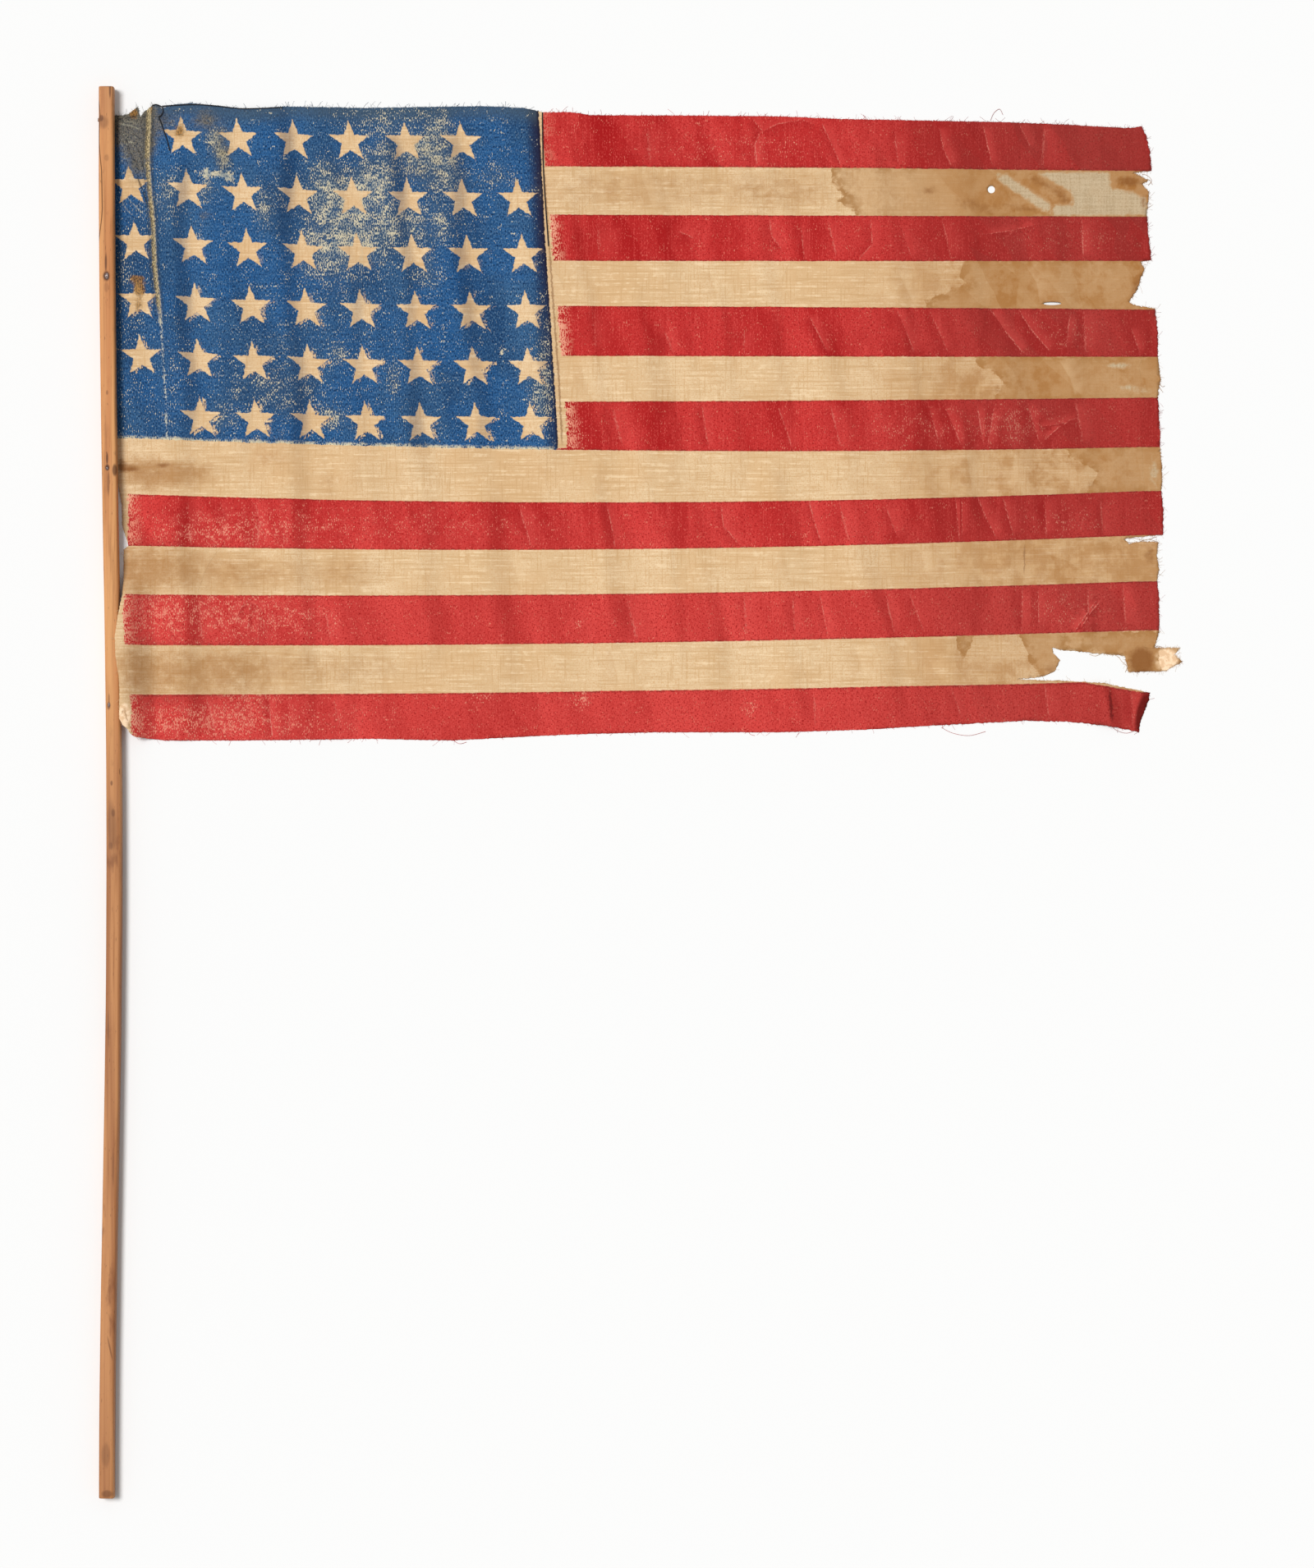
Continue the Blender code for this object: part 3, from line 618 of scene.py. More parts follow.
# Where the cloth is worn sheer and grey
SHEER = (
    Spot(1362, 446, 22, 4, 0, 0.8),
    Spot(1382, 474, 26, 4, 6, 0.8),
    Spot(1405, 574, 7, 18, 0, 0.7),
)
SHEER_AREAS = (
    ((1208, 210), (1227, 213), (1256, 232), (1280, 248), (1277, 261), (1266, 256), (1245, 241),
     (1221, 226)),
    ((1256, 209), (1351, 209), (1354, 229), (1383, 234), (1396, 241), (1400, 263), (1280, 264),
     (1282, 250), (1306, 249), (1303, 234), (1277, 220)),
)
# Creases, each with its strength, width and route: a positive strength is a pale cracked line with painted
# light and shade beside it, a negative one a line of painted shade along the fold
CREASES = (
    Crease(0.6, 0.6, ((916, 145), (927, 158), (919, 176), (922, 202))),
    Crease(0.5, 0.6, ((927, 161), (947, 151), (978, 146), (993, 153))),
    Crease(0.6, 0.6, ((1001, 151), (1011, 172), (1024, 202))),
    Crease(0.3, 1.4, ((789, 156), (791, 202))),
    Crease(0.5, 0.7, ((827, 283), (837, 286), (845, 291))),
    Crease(0.6, 0.7, ((937, 268), (940, 288), (952, 304))),
    Crease(0.5, 0.6, ((975, 273), (980, 319))),
    Crease(0.4, 0.9, ((1008, 268), (1019, 314))),
    Crease(0.3, 1.6, ((728, 273), (730, 314))),
    Crease(0.4, 1.0, ((906, 404), (906, 426))),
    Crease(0.7, 0.6, ((985, 385), (996, 406), (1008, 431))),
    Crease(0.3, 1.6, ((722, 375), (725, 426))),
    Crease(0.4, 0.9, ((809, 402), (820, 431))),
    Crease(0.4, 1.4, ((745, 493), (758, 546))),
    Crease(0.6, 0.6, ((855, 493), (858, 518), (863, 546))),
    Crease(0.4, 0.8, ((947, 495), (957, 523), (965, 548))),
    Crease(0.4, 0.9, ((1011, 493), (1024, 548))),
    Crease(0.5, 1.0, ((631, 613), (648, 669))),
    Crease(0.6, 0.6, ((738, 613), (745, 641), (749, 666))),
    Crease(0.6, 0.6, ((878, 615), (881, 641), (901, 664))),
    Crease(0.7, 0.6, ((985, 610), (992, 637), (1001, 664))),
    Crease(0.4, 1.0, ((1021, 610), (1034, 661))),
    Crease(0.4, 1.4, ((763, 728), (776, 781))),
    Crease(0.4, 0.8, ((906, 722), (909, 773))),
    Crease(0.5, 0.8, ((965, 725), (968, 773))),
    Crease(0.6, 0.6, ((998, 722), (1008, 776))),
    Crease(0.3, 1.0, ((991, 840), (993, 886))),
    Crease(0.4, 0.8, ((1089, 160), (1094, 202))),
    Crease(0.6, 0.7, ((1144, 155), (1148, 180), (1158, 202))),
    Crease(0.6, 0.6, ((1197, 152), (1208, 202))),
    Crease(0.4, 0.8, ((1240, 150), (1256, 181))),
    Crease(0.3, 1.2, ((1272, 152), (1269, 205))),
    Crease(0.6, 0.6, ((1060, 268), (1062, 298), (1047, 314))),
    Crease(0.4, 0.7, ((1097, 277), (1110, 314))),
    Crease(0.4, 1.0, ((1147, 266), (1158, 316))),
    Crease(0.5, 0.5, ((1203, 285), (1232, 281), (1261, 274))),
    Crease(0.4, 0.5, ((1227, 288), (1240, 277))),
    Crease(0.5, 0.8, ((1317, 266), (1319, 314))),
    Crease(0.6, 0.7, ((1092, 378), (1102, 400), (1113, 430))),
    Crease(0.5, 0.6, ((1131, 377), (1155, 430))),
    Crease(0.7, 0.7, ((1206, 377), (1225, 405), (1246, 430))),
    Crease(0.6, 0.7, ((1240, 377), (1256, 402), (1278, 428))),
    Crease(0.5, 0.7, ((1303, 382), (1298, 420))),
    Crease(0.4, 1.2, ((1319, 377), (1322, 430))),
    Crease(0.5, 0.6, ((1377, 398), (1388, 430))),
    Crease(0.5, 0.6, ((1131, 494), (1142, 536))),
    Crease(0.6, 0.6, ((1150, 494), (1171, 544))),
    Crease(0.5, 0.7, ((1190, 494), (1197, 541))),
    Crease(0.6, 0.6, ((1211, 494), (1203, 541))),
    Crease(0.5, 0.7, ((1250, 489), (1266, 541))),
    Crease(0.5, 0.5, ((1266, 520), (1288, 517), (1309, 510))),
    Crease(0.6, 0.5, ((1272, 536), (1290, 520), (1309, 509))),
    Crease(0.4, 1.0, ((1309, 489), (1319, 541))),
    Crease(0.5, 0.6, ((1078, 616), (1094, 658))),
    Crease(0.7, 0.5, ((1163, 605), (1168, 658))),
    Crease(0.6, 0.5, ((1171, 608), (1171, 653))),
    Crease(0.6, 0.7, ((1190, 605), (1200, 630), (1213, 655))),
    Crease(0.5, 0.7, ((1221, 605), (1234, 653))),
    Crease(0.6, 0.8, ((1272, 605), (1274, 653))),
    Crease(0.4, 0.7, ((1340, 610), (1343, 653))),
    Crease(0.4, 0.7, ((1078, 722), (1089, 772))),
    Crease(0.4, 0.8, ((1107, 722), (1126, 772))),
    Crease(0.6, 0.8, ((1245, 716), (1244, 769))),
    Crease(0.5, 0.6, ((1264, 714), (1265, 764))),
    Crease(0.9, 0.5, ((1309, 769), (1320, 752), (1335, 732))),
    Crease(0.8, 0.5, ((1314, 769), (1325, 750), (1338, 734))),
    Crease(0.4, 0.9, ((1325, 716), (1325, 764))),
    Crease(0.5, 0.8, ((1367, 711), (1371, 764))),
    Crease(0.4, 0.7, ((1158, 838), (1171, 875))),
    Crease(0.4, 0.9, ((1272, 833), (1277, 875))),
    Crease(-0.9, 1.4, ((1351, 838), (1354, 882))),
    Crease(0.5, 0.9, ((1377, 841), (1380, 886))),
    Crease(0.5, 0.6, ((157, 609), (158, 661))),
    Crease(0.4, 1.2, ((228, 611), (233, 666))),
    Crease(0.4, 0.8, ((267, 609), (277, 635))),
    Crease(0.4, 1.0, ((311, 611), (316, 635), (313, 666))),
    Crease(0.3, 1.4, ((173, 724), (174, 784))),
    Crease(0.4, 1.0, ((241, 729), (247, 784))),
    Crease(0.7, 0.6, ((288, 753), (298, 732))),
    Crease(0.6, 0.6, ((302, 766), (303, 748), (306, 732))),
    Crease(0.5, 0.6, ((299, 732), (312, 737), (320, 745))),
    Crease(0.4, 0.8, ((314, 784), (316, 742))),
    Crease(0.4, 1.0, ((397, 747), (403, 781))),
    Crease(0.4, 1.0, ((251, 847), (264, 899))),
    Crease(0.8, 0.6, ((327, 848), (329, 872), (332, 899))),
    Crease(0.4, 0.9, ((352, 849), (353, 896))),
    Crease(0.4, 1.0, ((405, 849), (418, 894))),
    Crease(-0.6, 0.8, ((149, 872), (154, 864), (158, 880), (161, 888))),
    Crease(-0.8, 0.8, ((1248, 662), (1247, 700))),
    Crease(0.5, 0.9, ((1094, 330), (1102, 350), (1113, 370))),
    Crease(0.4, 1.0, ((1176, 550), (1184, 602))),
    Crease(0.4, 0.8, ((1236, 548), (1228, 598))),
    Crease(0.5, 0.8, ((1290, 440), (1303, 462), (1309, 482))),
    Crease(0.5, 0.8, ((1250, 325), (1262, 345), (1266, 368))),
    Crease(0.4, 1.0, ((1120, 668), (1128, 705))),
    Crease(0.4, 1.0, ((1040, 786), (1052, 824))),
    Crease(0.4, 1.2, ((780, 212), (796, 256))),
    Crease(0.4, 1.2, ((862, 326), (874, 368))),
    Crease(0.4, 1.2, ((706, 440), (716, 482))),
    Crease(0.4, 1.2, ((820, 556), (832, 602))),
    Crease(0.4, 1.2, ((620, 672), (634, 718))),
    Crease(0.4, 1.2, ((954, 668), (962, 712))),
    Crease(0.4, 1.2, ((744, 790), (754, 836))),
    Crease(0.4, 1.2, ((324, 790), (332, 842))),
    Crease(0.4, 1.4, ((438, 556), (441, 600))),
    Crease(0.4, 1.2, ((236, 676), (250, 716))),
    Crease(0.3, 2.0, ((439, 205), (441, 280), (440, 338))),
    Crease(-0.7, 0.8, ((141, 155), (149, 166), (160, 178))),
    Crease(0.8, 0.5, ((140, 156), (152, 168), (163, 178), (172, 190))),
    Crease(0.7, 0.5, ((144, 168), (151, 180), (156, 196))),
    Crease(-0.7, 0.5, ((147, 163), (157, 178), (163, 194))),
    Crease(0.6, 0.5, ((158, 160), (166, 168), (174, 180))),
    Crease(-0.7, 0.5, ((154, 156), (164, 164), (175, 172))),
    Crease(0.5, 0.5, ((150, 148), (162, 149), (174, 152))),
    Crease(0.5, 0.5, ((166, 196), (171, 206), (175, 222))),
    Crease(-0.6, 0.5, ((160, 186), (168, 202), (172, 216))),
    Crease(0.9, 0.7, ((141, 158), (150, 164), (162, 175), (170, 183), (178, 192))),
    Crease(0.6, 0.6, ((141, 163), (149, 171), (156, 178), (162, 188))),
    Crease(0.7, 0.6, ((161, 175), (171, 183), (176, 194), (178, 213))),
    Crease(-0.8, 0.8, ((166, 178), (172, 190), (175, 205))),
    Crease(-0.9, 0.9, ((167, 214), (174, 232), (181, 253))),
    Crease(0.6, 0.7, ((142, 150), (156, 153), (172, 158))),
    Crease(-0.8, 0.9, ((143, 146), (156, 144), (168, 142))),
    Crease(-0.7, 0.7, ((176, 143), (171, 150), (174, 162))),
    Crease(0.5, 0.6, ((146, 240), (152, 252), (160, 262))),
    Crease(0.5, 0.6, ((150, 236), (164, 250), (176, 262))),
    Crease(-0.9, 1.0, ((660, 137), (662, 200), (665, 245), (669, 300), (676, 400), (681, 470), (685, 545))),
)
DARK_THREADS = (
    ((185.5, 129), (191, 127.8), (197.5, 131), (198.8, 136.6), (195.7, 142), (193.8, 143),
     (196.6, 150.5), (200, 160.7), (204, 171.8), (206.8, 183.8)),
    ((197.5, 129.6), (211, 128.6), (233.6, 127.6), (248.4, 128.0), (266.9, 129.6),
     (283.5, 131.7), (296.5, 132.8), (322, 132.2), (344.5, 131.2)),
    ((660.5, 137), (661.5, 200), (664, 245), (668, 300)),
)
LOOSE_THREADS = (
    ((1326, 797), (1334, 799), (1345, 795), (1356, 797), (1362, 801)),
    ((1352, 884), (1360, 890), (1372, 893), (1384, 889)),
    ((1146, 886), (1160, 893), (1180, 896), (1200, 891)),
    ((1123, 850), (1130, 858), (1142, 856), (1136, 868), (1126, 872), (1132, 879)),
    ((1206, 147), (1210, 138), (1217, 133), (1221, 140)),
    ((1366, 657), (1378, 655), (1392, 658), (1408, 654)),
    ((1370, 660), (1384, 661), (1398, 657), (1411, 661)),
    ((1390, 212), (1397, 214), (1402, 220), (1398, 226)),
    ((1391, 219), (1399, 219), (1403, 225)),
    ((1408, 455), (1413, 462), (1411, 470), (1416, 478)),
    ((1410, 466), (1415, 471), (1418, 470)),
    ((550, 897), (554, 903), (560, 906), (568, 904)),
    ((911, 888), (913, 894), (919, 896)),
    ((1362, 800), (1366, 806), (1372, 812), (1370, 819)),
    ((1392, 788), (1402, 790), (1410, 787), (1416, 789)),
)
FLAP = Spot(1420, 804, 17, 16, 0, 1.0)
TURNED_CORNER = Spot(154, 872, 8, 17, 0, 1.0)
# The curled end of the lowest red stripe, darkened with painted shade
CURLED_END_SHADE = Spot(1392, 868, 9, 30, 12, 1.0)
PLEAT_ROUTE = ((150, 181), (190, 179.5), (230, 182), (270, 186.5), (323, 188.5), (350, 191),
               (400, 197), (440, 199), (480, 202), (545, 204))


def inside_spot(spot, x, y):
    """1 at a spot's middle, falling softly to 0 outside its size."""
    turn = math.radians(spot.turn)
    across = (x - spot.x) * math.cos(turn) + (y - spot.y) * math.sin(turn)
    down = (y - spot.y) * math.cos(turn) - (x - spot.x) * math.sin(turn)
    return spot.amount * np.exp(-((across / spot.across) ** 2 + (down / spot.down) ** 2))


def all_spots(spots, x, y):
    clear = np.ones_like(x)
    for spot in spots:
        clear = clear * (1.0 - np.clip(inside_spot(spot, x, y), 0.0, 1.0))
    return 1.0 - clear


def stripe_edge(x, edge):
    """A stripe's edge at x: one bow through its three heights."""
    hoist, middle, fly = edge
    share = np.clip((x - STRIPE_ENDS[0]) / (STRIPE_ENDS[1] - STRIPE_ENDS[0]), 0.0, 1.0)
    bow = hoist * (1.0 - share) * (1.0 - 2.0 * share) + middle * 4.0 * share * (1.0 - share)
    return bow + fly * share * (2.0 * share - 1.0)


def stripe_number(x, y):
    """0 at the flag's top edge, growing by one with each stripe."""
    edges = [stripe_edge(x, edge) for edge in STRIPE_EDGES]
    edges[12] = edges[12] + CURL_LIFT * np.clip(x - CURL_STARTS, 0.0, 70.0)
    number = np.zeros_like(x)
    for upper, lower in zip(edges, edges[1:]):
        number = number + np.clip((y - upper) / (lower - upper), 0.0, 1.0)
    return number


def curve_at(y, knots):
    return np.interp(y, [knot[0] for knot in knots], [knot[1] for knot in knots])


def canton_depth(x, y):
    """Millimetres inside the canton's right and lower edges, negative outside."""
    foot = stripe_edge(x, STRIPE_EDGES[7])
    return np.minimum(curve_at(y, CANTON_EDGE) - x, foot - y) * MM_PER_PIXEL


def red_depth(x, y):
    """Millimetres past the place where each red stripe starts."""
    start = np.where(y < 548.0, curve_at(y, RED_STARTS), curve_at(y, LOWER_RED_STARTS))
    return np.clip((x - start) * MM_PER_PIXEL, -40.0, 40.0)


def depth_inside(outlines, x, y):
    """Millimetres inside the nearest closed outline, negative outside them all."""
    depth = np.full_like(x, -40.0)
    for outline in outlines:
        nearest = np.full_like(x, 1e6)
        within = np.zeros(x.shape, dtype=bool)
        for (ax, ay), (bx, by) in zip(outline, outline[1:] + outline[:1]):
            run_x, run_y = bx - ax, by - ay
            share = ((x - ax) * run_x + (y - ay) * run_y) / (run_x ** 2 + run_y ** 2)
            share = np.clip(share, 0.0, 1.0)
            off = np.hypot(x - ax - share * run_x, y - ay - share * run_y)
            nearest = np.minimum(nearest, off)
            crosses = (ay > y) != (by > y)
            if ay != by:
                within ^= crosses & (x < ax + (y - ay) * run_x / run_y)
        signed = np.where(within, nearest, -nearest) * MM_PER_PIXEL
        depth = np.maximum(depth, signed)
    return depth


def star_places():
    """Each star's middle and its lean, with the first column drawn in by the pleat."""
    places = []
    for row in STAR_ROWS:
        for column, tilt in enumerate(STAR_COLUMN_TILT):
            if column not in row.missing:
                x = row.left + row.pitch * column - (STAR_PLEAT_SHIFT if column == 0 else 0.0)
                y = row.top + row.sag * (1.0 - (1.0 - column / 7.0) ** STAR_SAG_POWER)
                places.append((x, y, tilt))
    return np.array(places)


def keep_number(mesh, name, values):
    layer = mesh.attributes.new(name, "FLOAT", "POINT")
    layer.data.foreach_set("value", values.astype(np.float32))


def keep_map(mesh, name, across, up):
    layer = mesh.uv_layers.new(name=name)
    both = np.stack((across, up), axis=1).astype(np.float32)
    layer.uv.foreach_set("vector", both.ravel())


def shadow_side(along, drop):
    """How steeply the cloth falls towards the fly, the side turned from the light, where shade is painted.
    """
    step = 3.0
    slope = (cloth_rise(along - step, drop) - cloth_rise(along + step, drop)) / (2.0 * step)
    return slope * ease(along, 30.0, 50.0)


def print_on(mesh):
    """Gives a mesh everything that the muslin's finish reads, from where its points lie."""
    along, drop, _ = read_places(mesh)
    x = along / MM_PER_PIXEL + ZERO_X
    y = drop / MM_PER_PIXEL + ZERO_Y
    keep_number(mesh, "stripe", stripe_number(x, y))
    keep_number(mesh, "canton", canton_depth(x, y))
    keep_number(mesh, "canton_right", (curve_at(y, CANTON_EDGE) - x) * MM_PER_PIXEL)
    keep_number(mesh, "top_edge", drop - np.interp(along, *zip(*TOP_LINE)))
    keep_number(mesh, "red_start", red_depth(x, y))
    keep_number(mesh, "abrasion", all_spots(ABRASION, x, y))
    keep_number(mesh, "patch", all_spots(PATCHES, x, y))
    keep_number(mesh, "soil", all_spots(SOIL, x, y))
    keep_number(mesh, "stain", all_spots(STAINS, x, y))
    bare_threads = np.clip(depth_inside(SHEER_AREAS, x, y) * 0.17 + 0.42, 0.0, 1.0)
    keep_number(mesh, "sheer", np.maximum(all_spots(SHEER, x, y), bare_threads))
    keep_number(mesh, "tide", depth_inside(TIDES, x, y))
    keep_number(mesh, "flap", all_spots((FLAP, TURNED_CORNER), x, y))
    keep_number(mesh, "dark_end", all_spots((CURLED_END_SHADE,), x, y))
    keep_number(mesh, "shadow_side", shadow_side(along, drop))
    keep_number(mesh, "pleat", (x - curve_at(y, PLEAT_ROUTE)) * MM_PER_PIXEL)

    corners = np.empty(len(mesh.loops), dtype=np.int64)
    mesh.loops.foreach_get("vertex_index", corners)
    sizes = np.empty(len(mesh.polygons), dtype=np.int64)
    mesh.polygons.foreach_get("loop_total", sizes)
    owner = np.repeat(np.arange(len(sizes)), sizes)
    corner_x, corner_y = x[corners], y[corners]
    middle_x = np.bincount(owner, corner_x) / sizes
    middle_y = np.bincount(owner, corner_y) / sizes
    keep_map(mesh, "cloth", along[corners] * MM, -drop[corners] * MM)

    stars = star_places()
    off = (middle_x[:, None] - stars[:, 0]) ** 2 + (middle_y[:, None] - stars[:, 1]) ** 2
    nearest = stars[np.argmin(off, axis=1)][owner]
    right = corner_x - nearest[:, 0]
    down = corner_y - nearest[:, 1]
    across = (right - STAR_SLANT * down) / STAR_RADIUS
    up = (nearest[:, 2] * right - down) / STAR_RADIUS
    keep_map(mesh, "star", across, up)

    keep_map(mesh, "crease", *beside_creases(middle_x, middle_y, corner_x, corner_y, owner))


def beside_creases(middle_x, middle_y, corner_x, corner_y, owner):
    """Each corner's distance across its face's nearest crease, in widths, and its strength."""
    lengths = []
    for crease in CREASES:
        last = len(crease.route) - 2
        for step, (start, end) in enumerate(zip(crease.route, crease.route[1:])):
            lengths.append((crease, (*start, *end), step == 0, step == last))
    best = np.full(middle_x.shape, 1e6)
    pick = np.zeros(middle_x.shape, dtype=np.int64)
    middle = on_flag(middle_x, middle_y)
    for number, (crease, line, _, _) in enumerate(lengths):
        gap, share, run = beside_line(*line, *middle)
        beyond = np.maximum(0.0, np.maximum(-share, share - 1.0)) * run
        away = np.hypot(gap, beyond)
        pick = np.where(away < best, number, pick)
        best = np.minimum(best, away)
    chosen = pick[owner]
    corner = on_flag(corner_x, corner_y)
    gaps = np.full(corner_x.shape, 50.0)
    strengths = np.zeros(corner_x.shape)
    for number, (crease, line, first, last) in enumerate(lengths):
        here = chosen == number
        gap, share, run = beside_line(*line, corner.along[here], corner.drop[here])
        starts = ease(share, -0.02, 0.2) if first else ease(share, -0.10, -0.02)
        stops = 1.0 - (ease(share, 0.8, 1.02) if last else ease(share, 1.02, 1.10))
        gaps[here] = gap / crease.width
        strengths[here] = crease.pale * starts * stops
    return gaps, strengths


def colour(red, green, blue):
    """A colour given as it shows, from 0 to 255, as the shader's own numbers."""
    shown = []
    for value in (red, green, blue):
        share = value / 255.0
        shown.append(share / 12.92 if share <= 0.04045 else ((share + 0.055) / 1.055) ** 2.4)
    return (*shown, 1.0)


class Value:
    """A number that varies over a surface, written in sums as a plain number is."""

    def __init__(self, finish, socket):
        self.finish = finish
        self.socket = socket

    def _maths(self, operation, *numbers):
        return self.finish.node("ShaderNodeMath", {"operation": operation},
                                dict(enumerate(numbers)))

    def __add__(self, other):
        return self._maths("ADD", self, other)

    __radd__ = __add__

    def __sub__(self, other):
        return self._maths("SUBTRACT", self, other)

    def __rsub__(self, other):
        return self._maths("SUBTRACT", other, self)

    def __mul__(self, other):
        return self._maths("MULTIPLY", self, other)

    __rmul__ = __mul__

    def __truediv__(self, other):
        return self._maths("DIVIDE", self, other)

    def __pow__(self, other):
        return self._maths("POWER", self, other)

    def __abs__(self):
        return self._maths("ABSOLUTE", self)

    def most(self, other):
        return self._maths("MAXIMUM", self, other)

    def least(self, other):
        return self._maths("MINIMUM", self, other)

    def sine(self):
        return self._maths("SINE", self)

    def clamped(self):
        return self.most(0.0).least(1.0)

    def ease(self, start, end):
        return self.finish.node("ShaderNodeMapRange", {"interpolation_type": "SMOOTHSTEP"},
                                {0: self, 1: start, 2: end, 3: 0.0, 4: 1.0})


class Finish:
    """A material, with its Principled surface and the nodes that feed it."""

    def __init__(self, name, **settings):
        self.material = bpy.data.materials.new(name)
        self.material.use_nodes = True
        self.tree = self.material.node_tree
        self.surface = self.tree.nodes["Principled BSDF"]
        for socket, value in settings.items():
            self.surface.inputs[socket.replace("_", " ").title().replace("Ior", "IOR")]\
                .default_value = value

    def node(self, kind, settings=None, sockets=None, output=0):
        made = self.tree.nodes.new(kind)
        for name, value in (settings or {}).items():
            if name == "stops":
                self._set_stops(made.color_ramp, value)
            else:
                setattr(made, name, value)
        for name, value in (sockets or {}).items():
            if isinstance(value, Value):
                self.tree.links.new(value.socket, made.inputs[name])
            else:
                made.inputs[name].default_value = value
        return Value(self, made.outputs[output])

    @staticmethod
    def _set_stops(ramp, stops):
        while len(ramp.elements) < len(stops):
            ramp.elements.new(0.5)
        for element, (place, shade) in zip(ramp.elements, stops):
            element.position = place
            element.color = shade

    def feed(self, socket, value):
        self.tree.links.new(value.socket, self.surface.inputs[socket])

    def number(self, name):
        return self.node("ShaderNodeAttribute", {"attribute_name": name}, output=2)

    def map(self, name):
        return self.node("ShaderNodeUVMap", {"uv_map": name})

    def parts(self, vector):
        split = self.tree.nodes.new("ShaderNodeSeparateXYZ")
        self.tree.links.new(vector.socket, split.inputs[0])
        return [Value(self, output) for output in split.outputs]

    def stretched(self, vector, across, up, deep=1.0, shift=0.0):
        scaled = self.node("ShaderNodeVectorMath", {"operation": "MULTIPLY"},
                           {0: vector, 1: (across, up, deep)})
        return self.node("ShaderNodeVectorMath", {"operation": "ADD"},
                         {0: scaled, 1: (shift, shift * 1.7, shift * 0.6)})

    def noise(self, vector, detail=2.0, roughness=0.5, flat=True):
        return self.node("ShaderNodeTexNoise",
                         {"noise_dimensions": "2D" if flat else "3D"},
                         {"Vector": vector, "Scale": 1.0, "Detail": detail,
                          "Roughness": roughness})

    def blend(self, share, first, second, way="MIX"):
        return self.node("ShaderNodeMix", {"data_type": "RGBA", "blend_type": way},
                         {0: share, 6: first, 7: second}, output=2)

    def shaded(self, shade, amount):
        """A colour made lighter or darker by a varying number about 1."""
        grey = self.node("ShaderNodeCombineColor", {}, {0: amount, 1: amount, 2: amount})
        return self.blend(1.0, shade, grey, "MULTIPLY")

    def raised(self, height, reach):
        bump = self.node("ShaderNodeBump", {}, {"Height": height, "Distance": reach * MM,
                                                "Strength": 1.0})
        self.feed("Normal", bump)


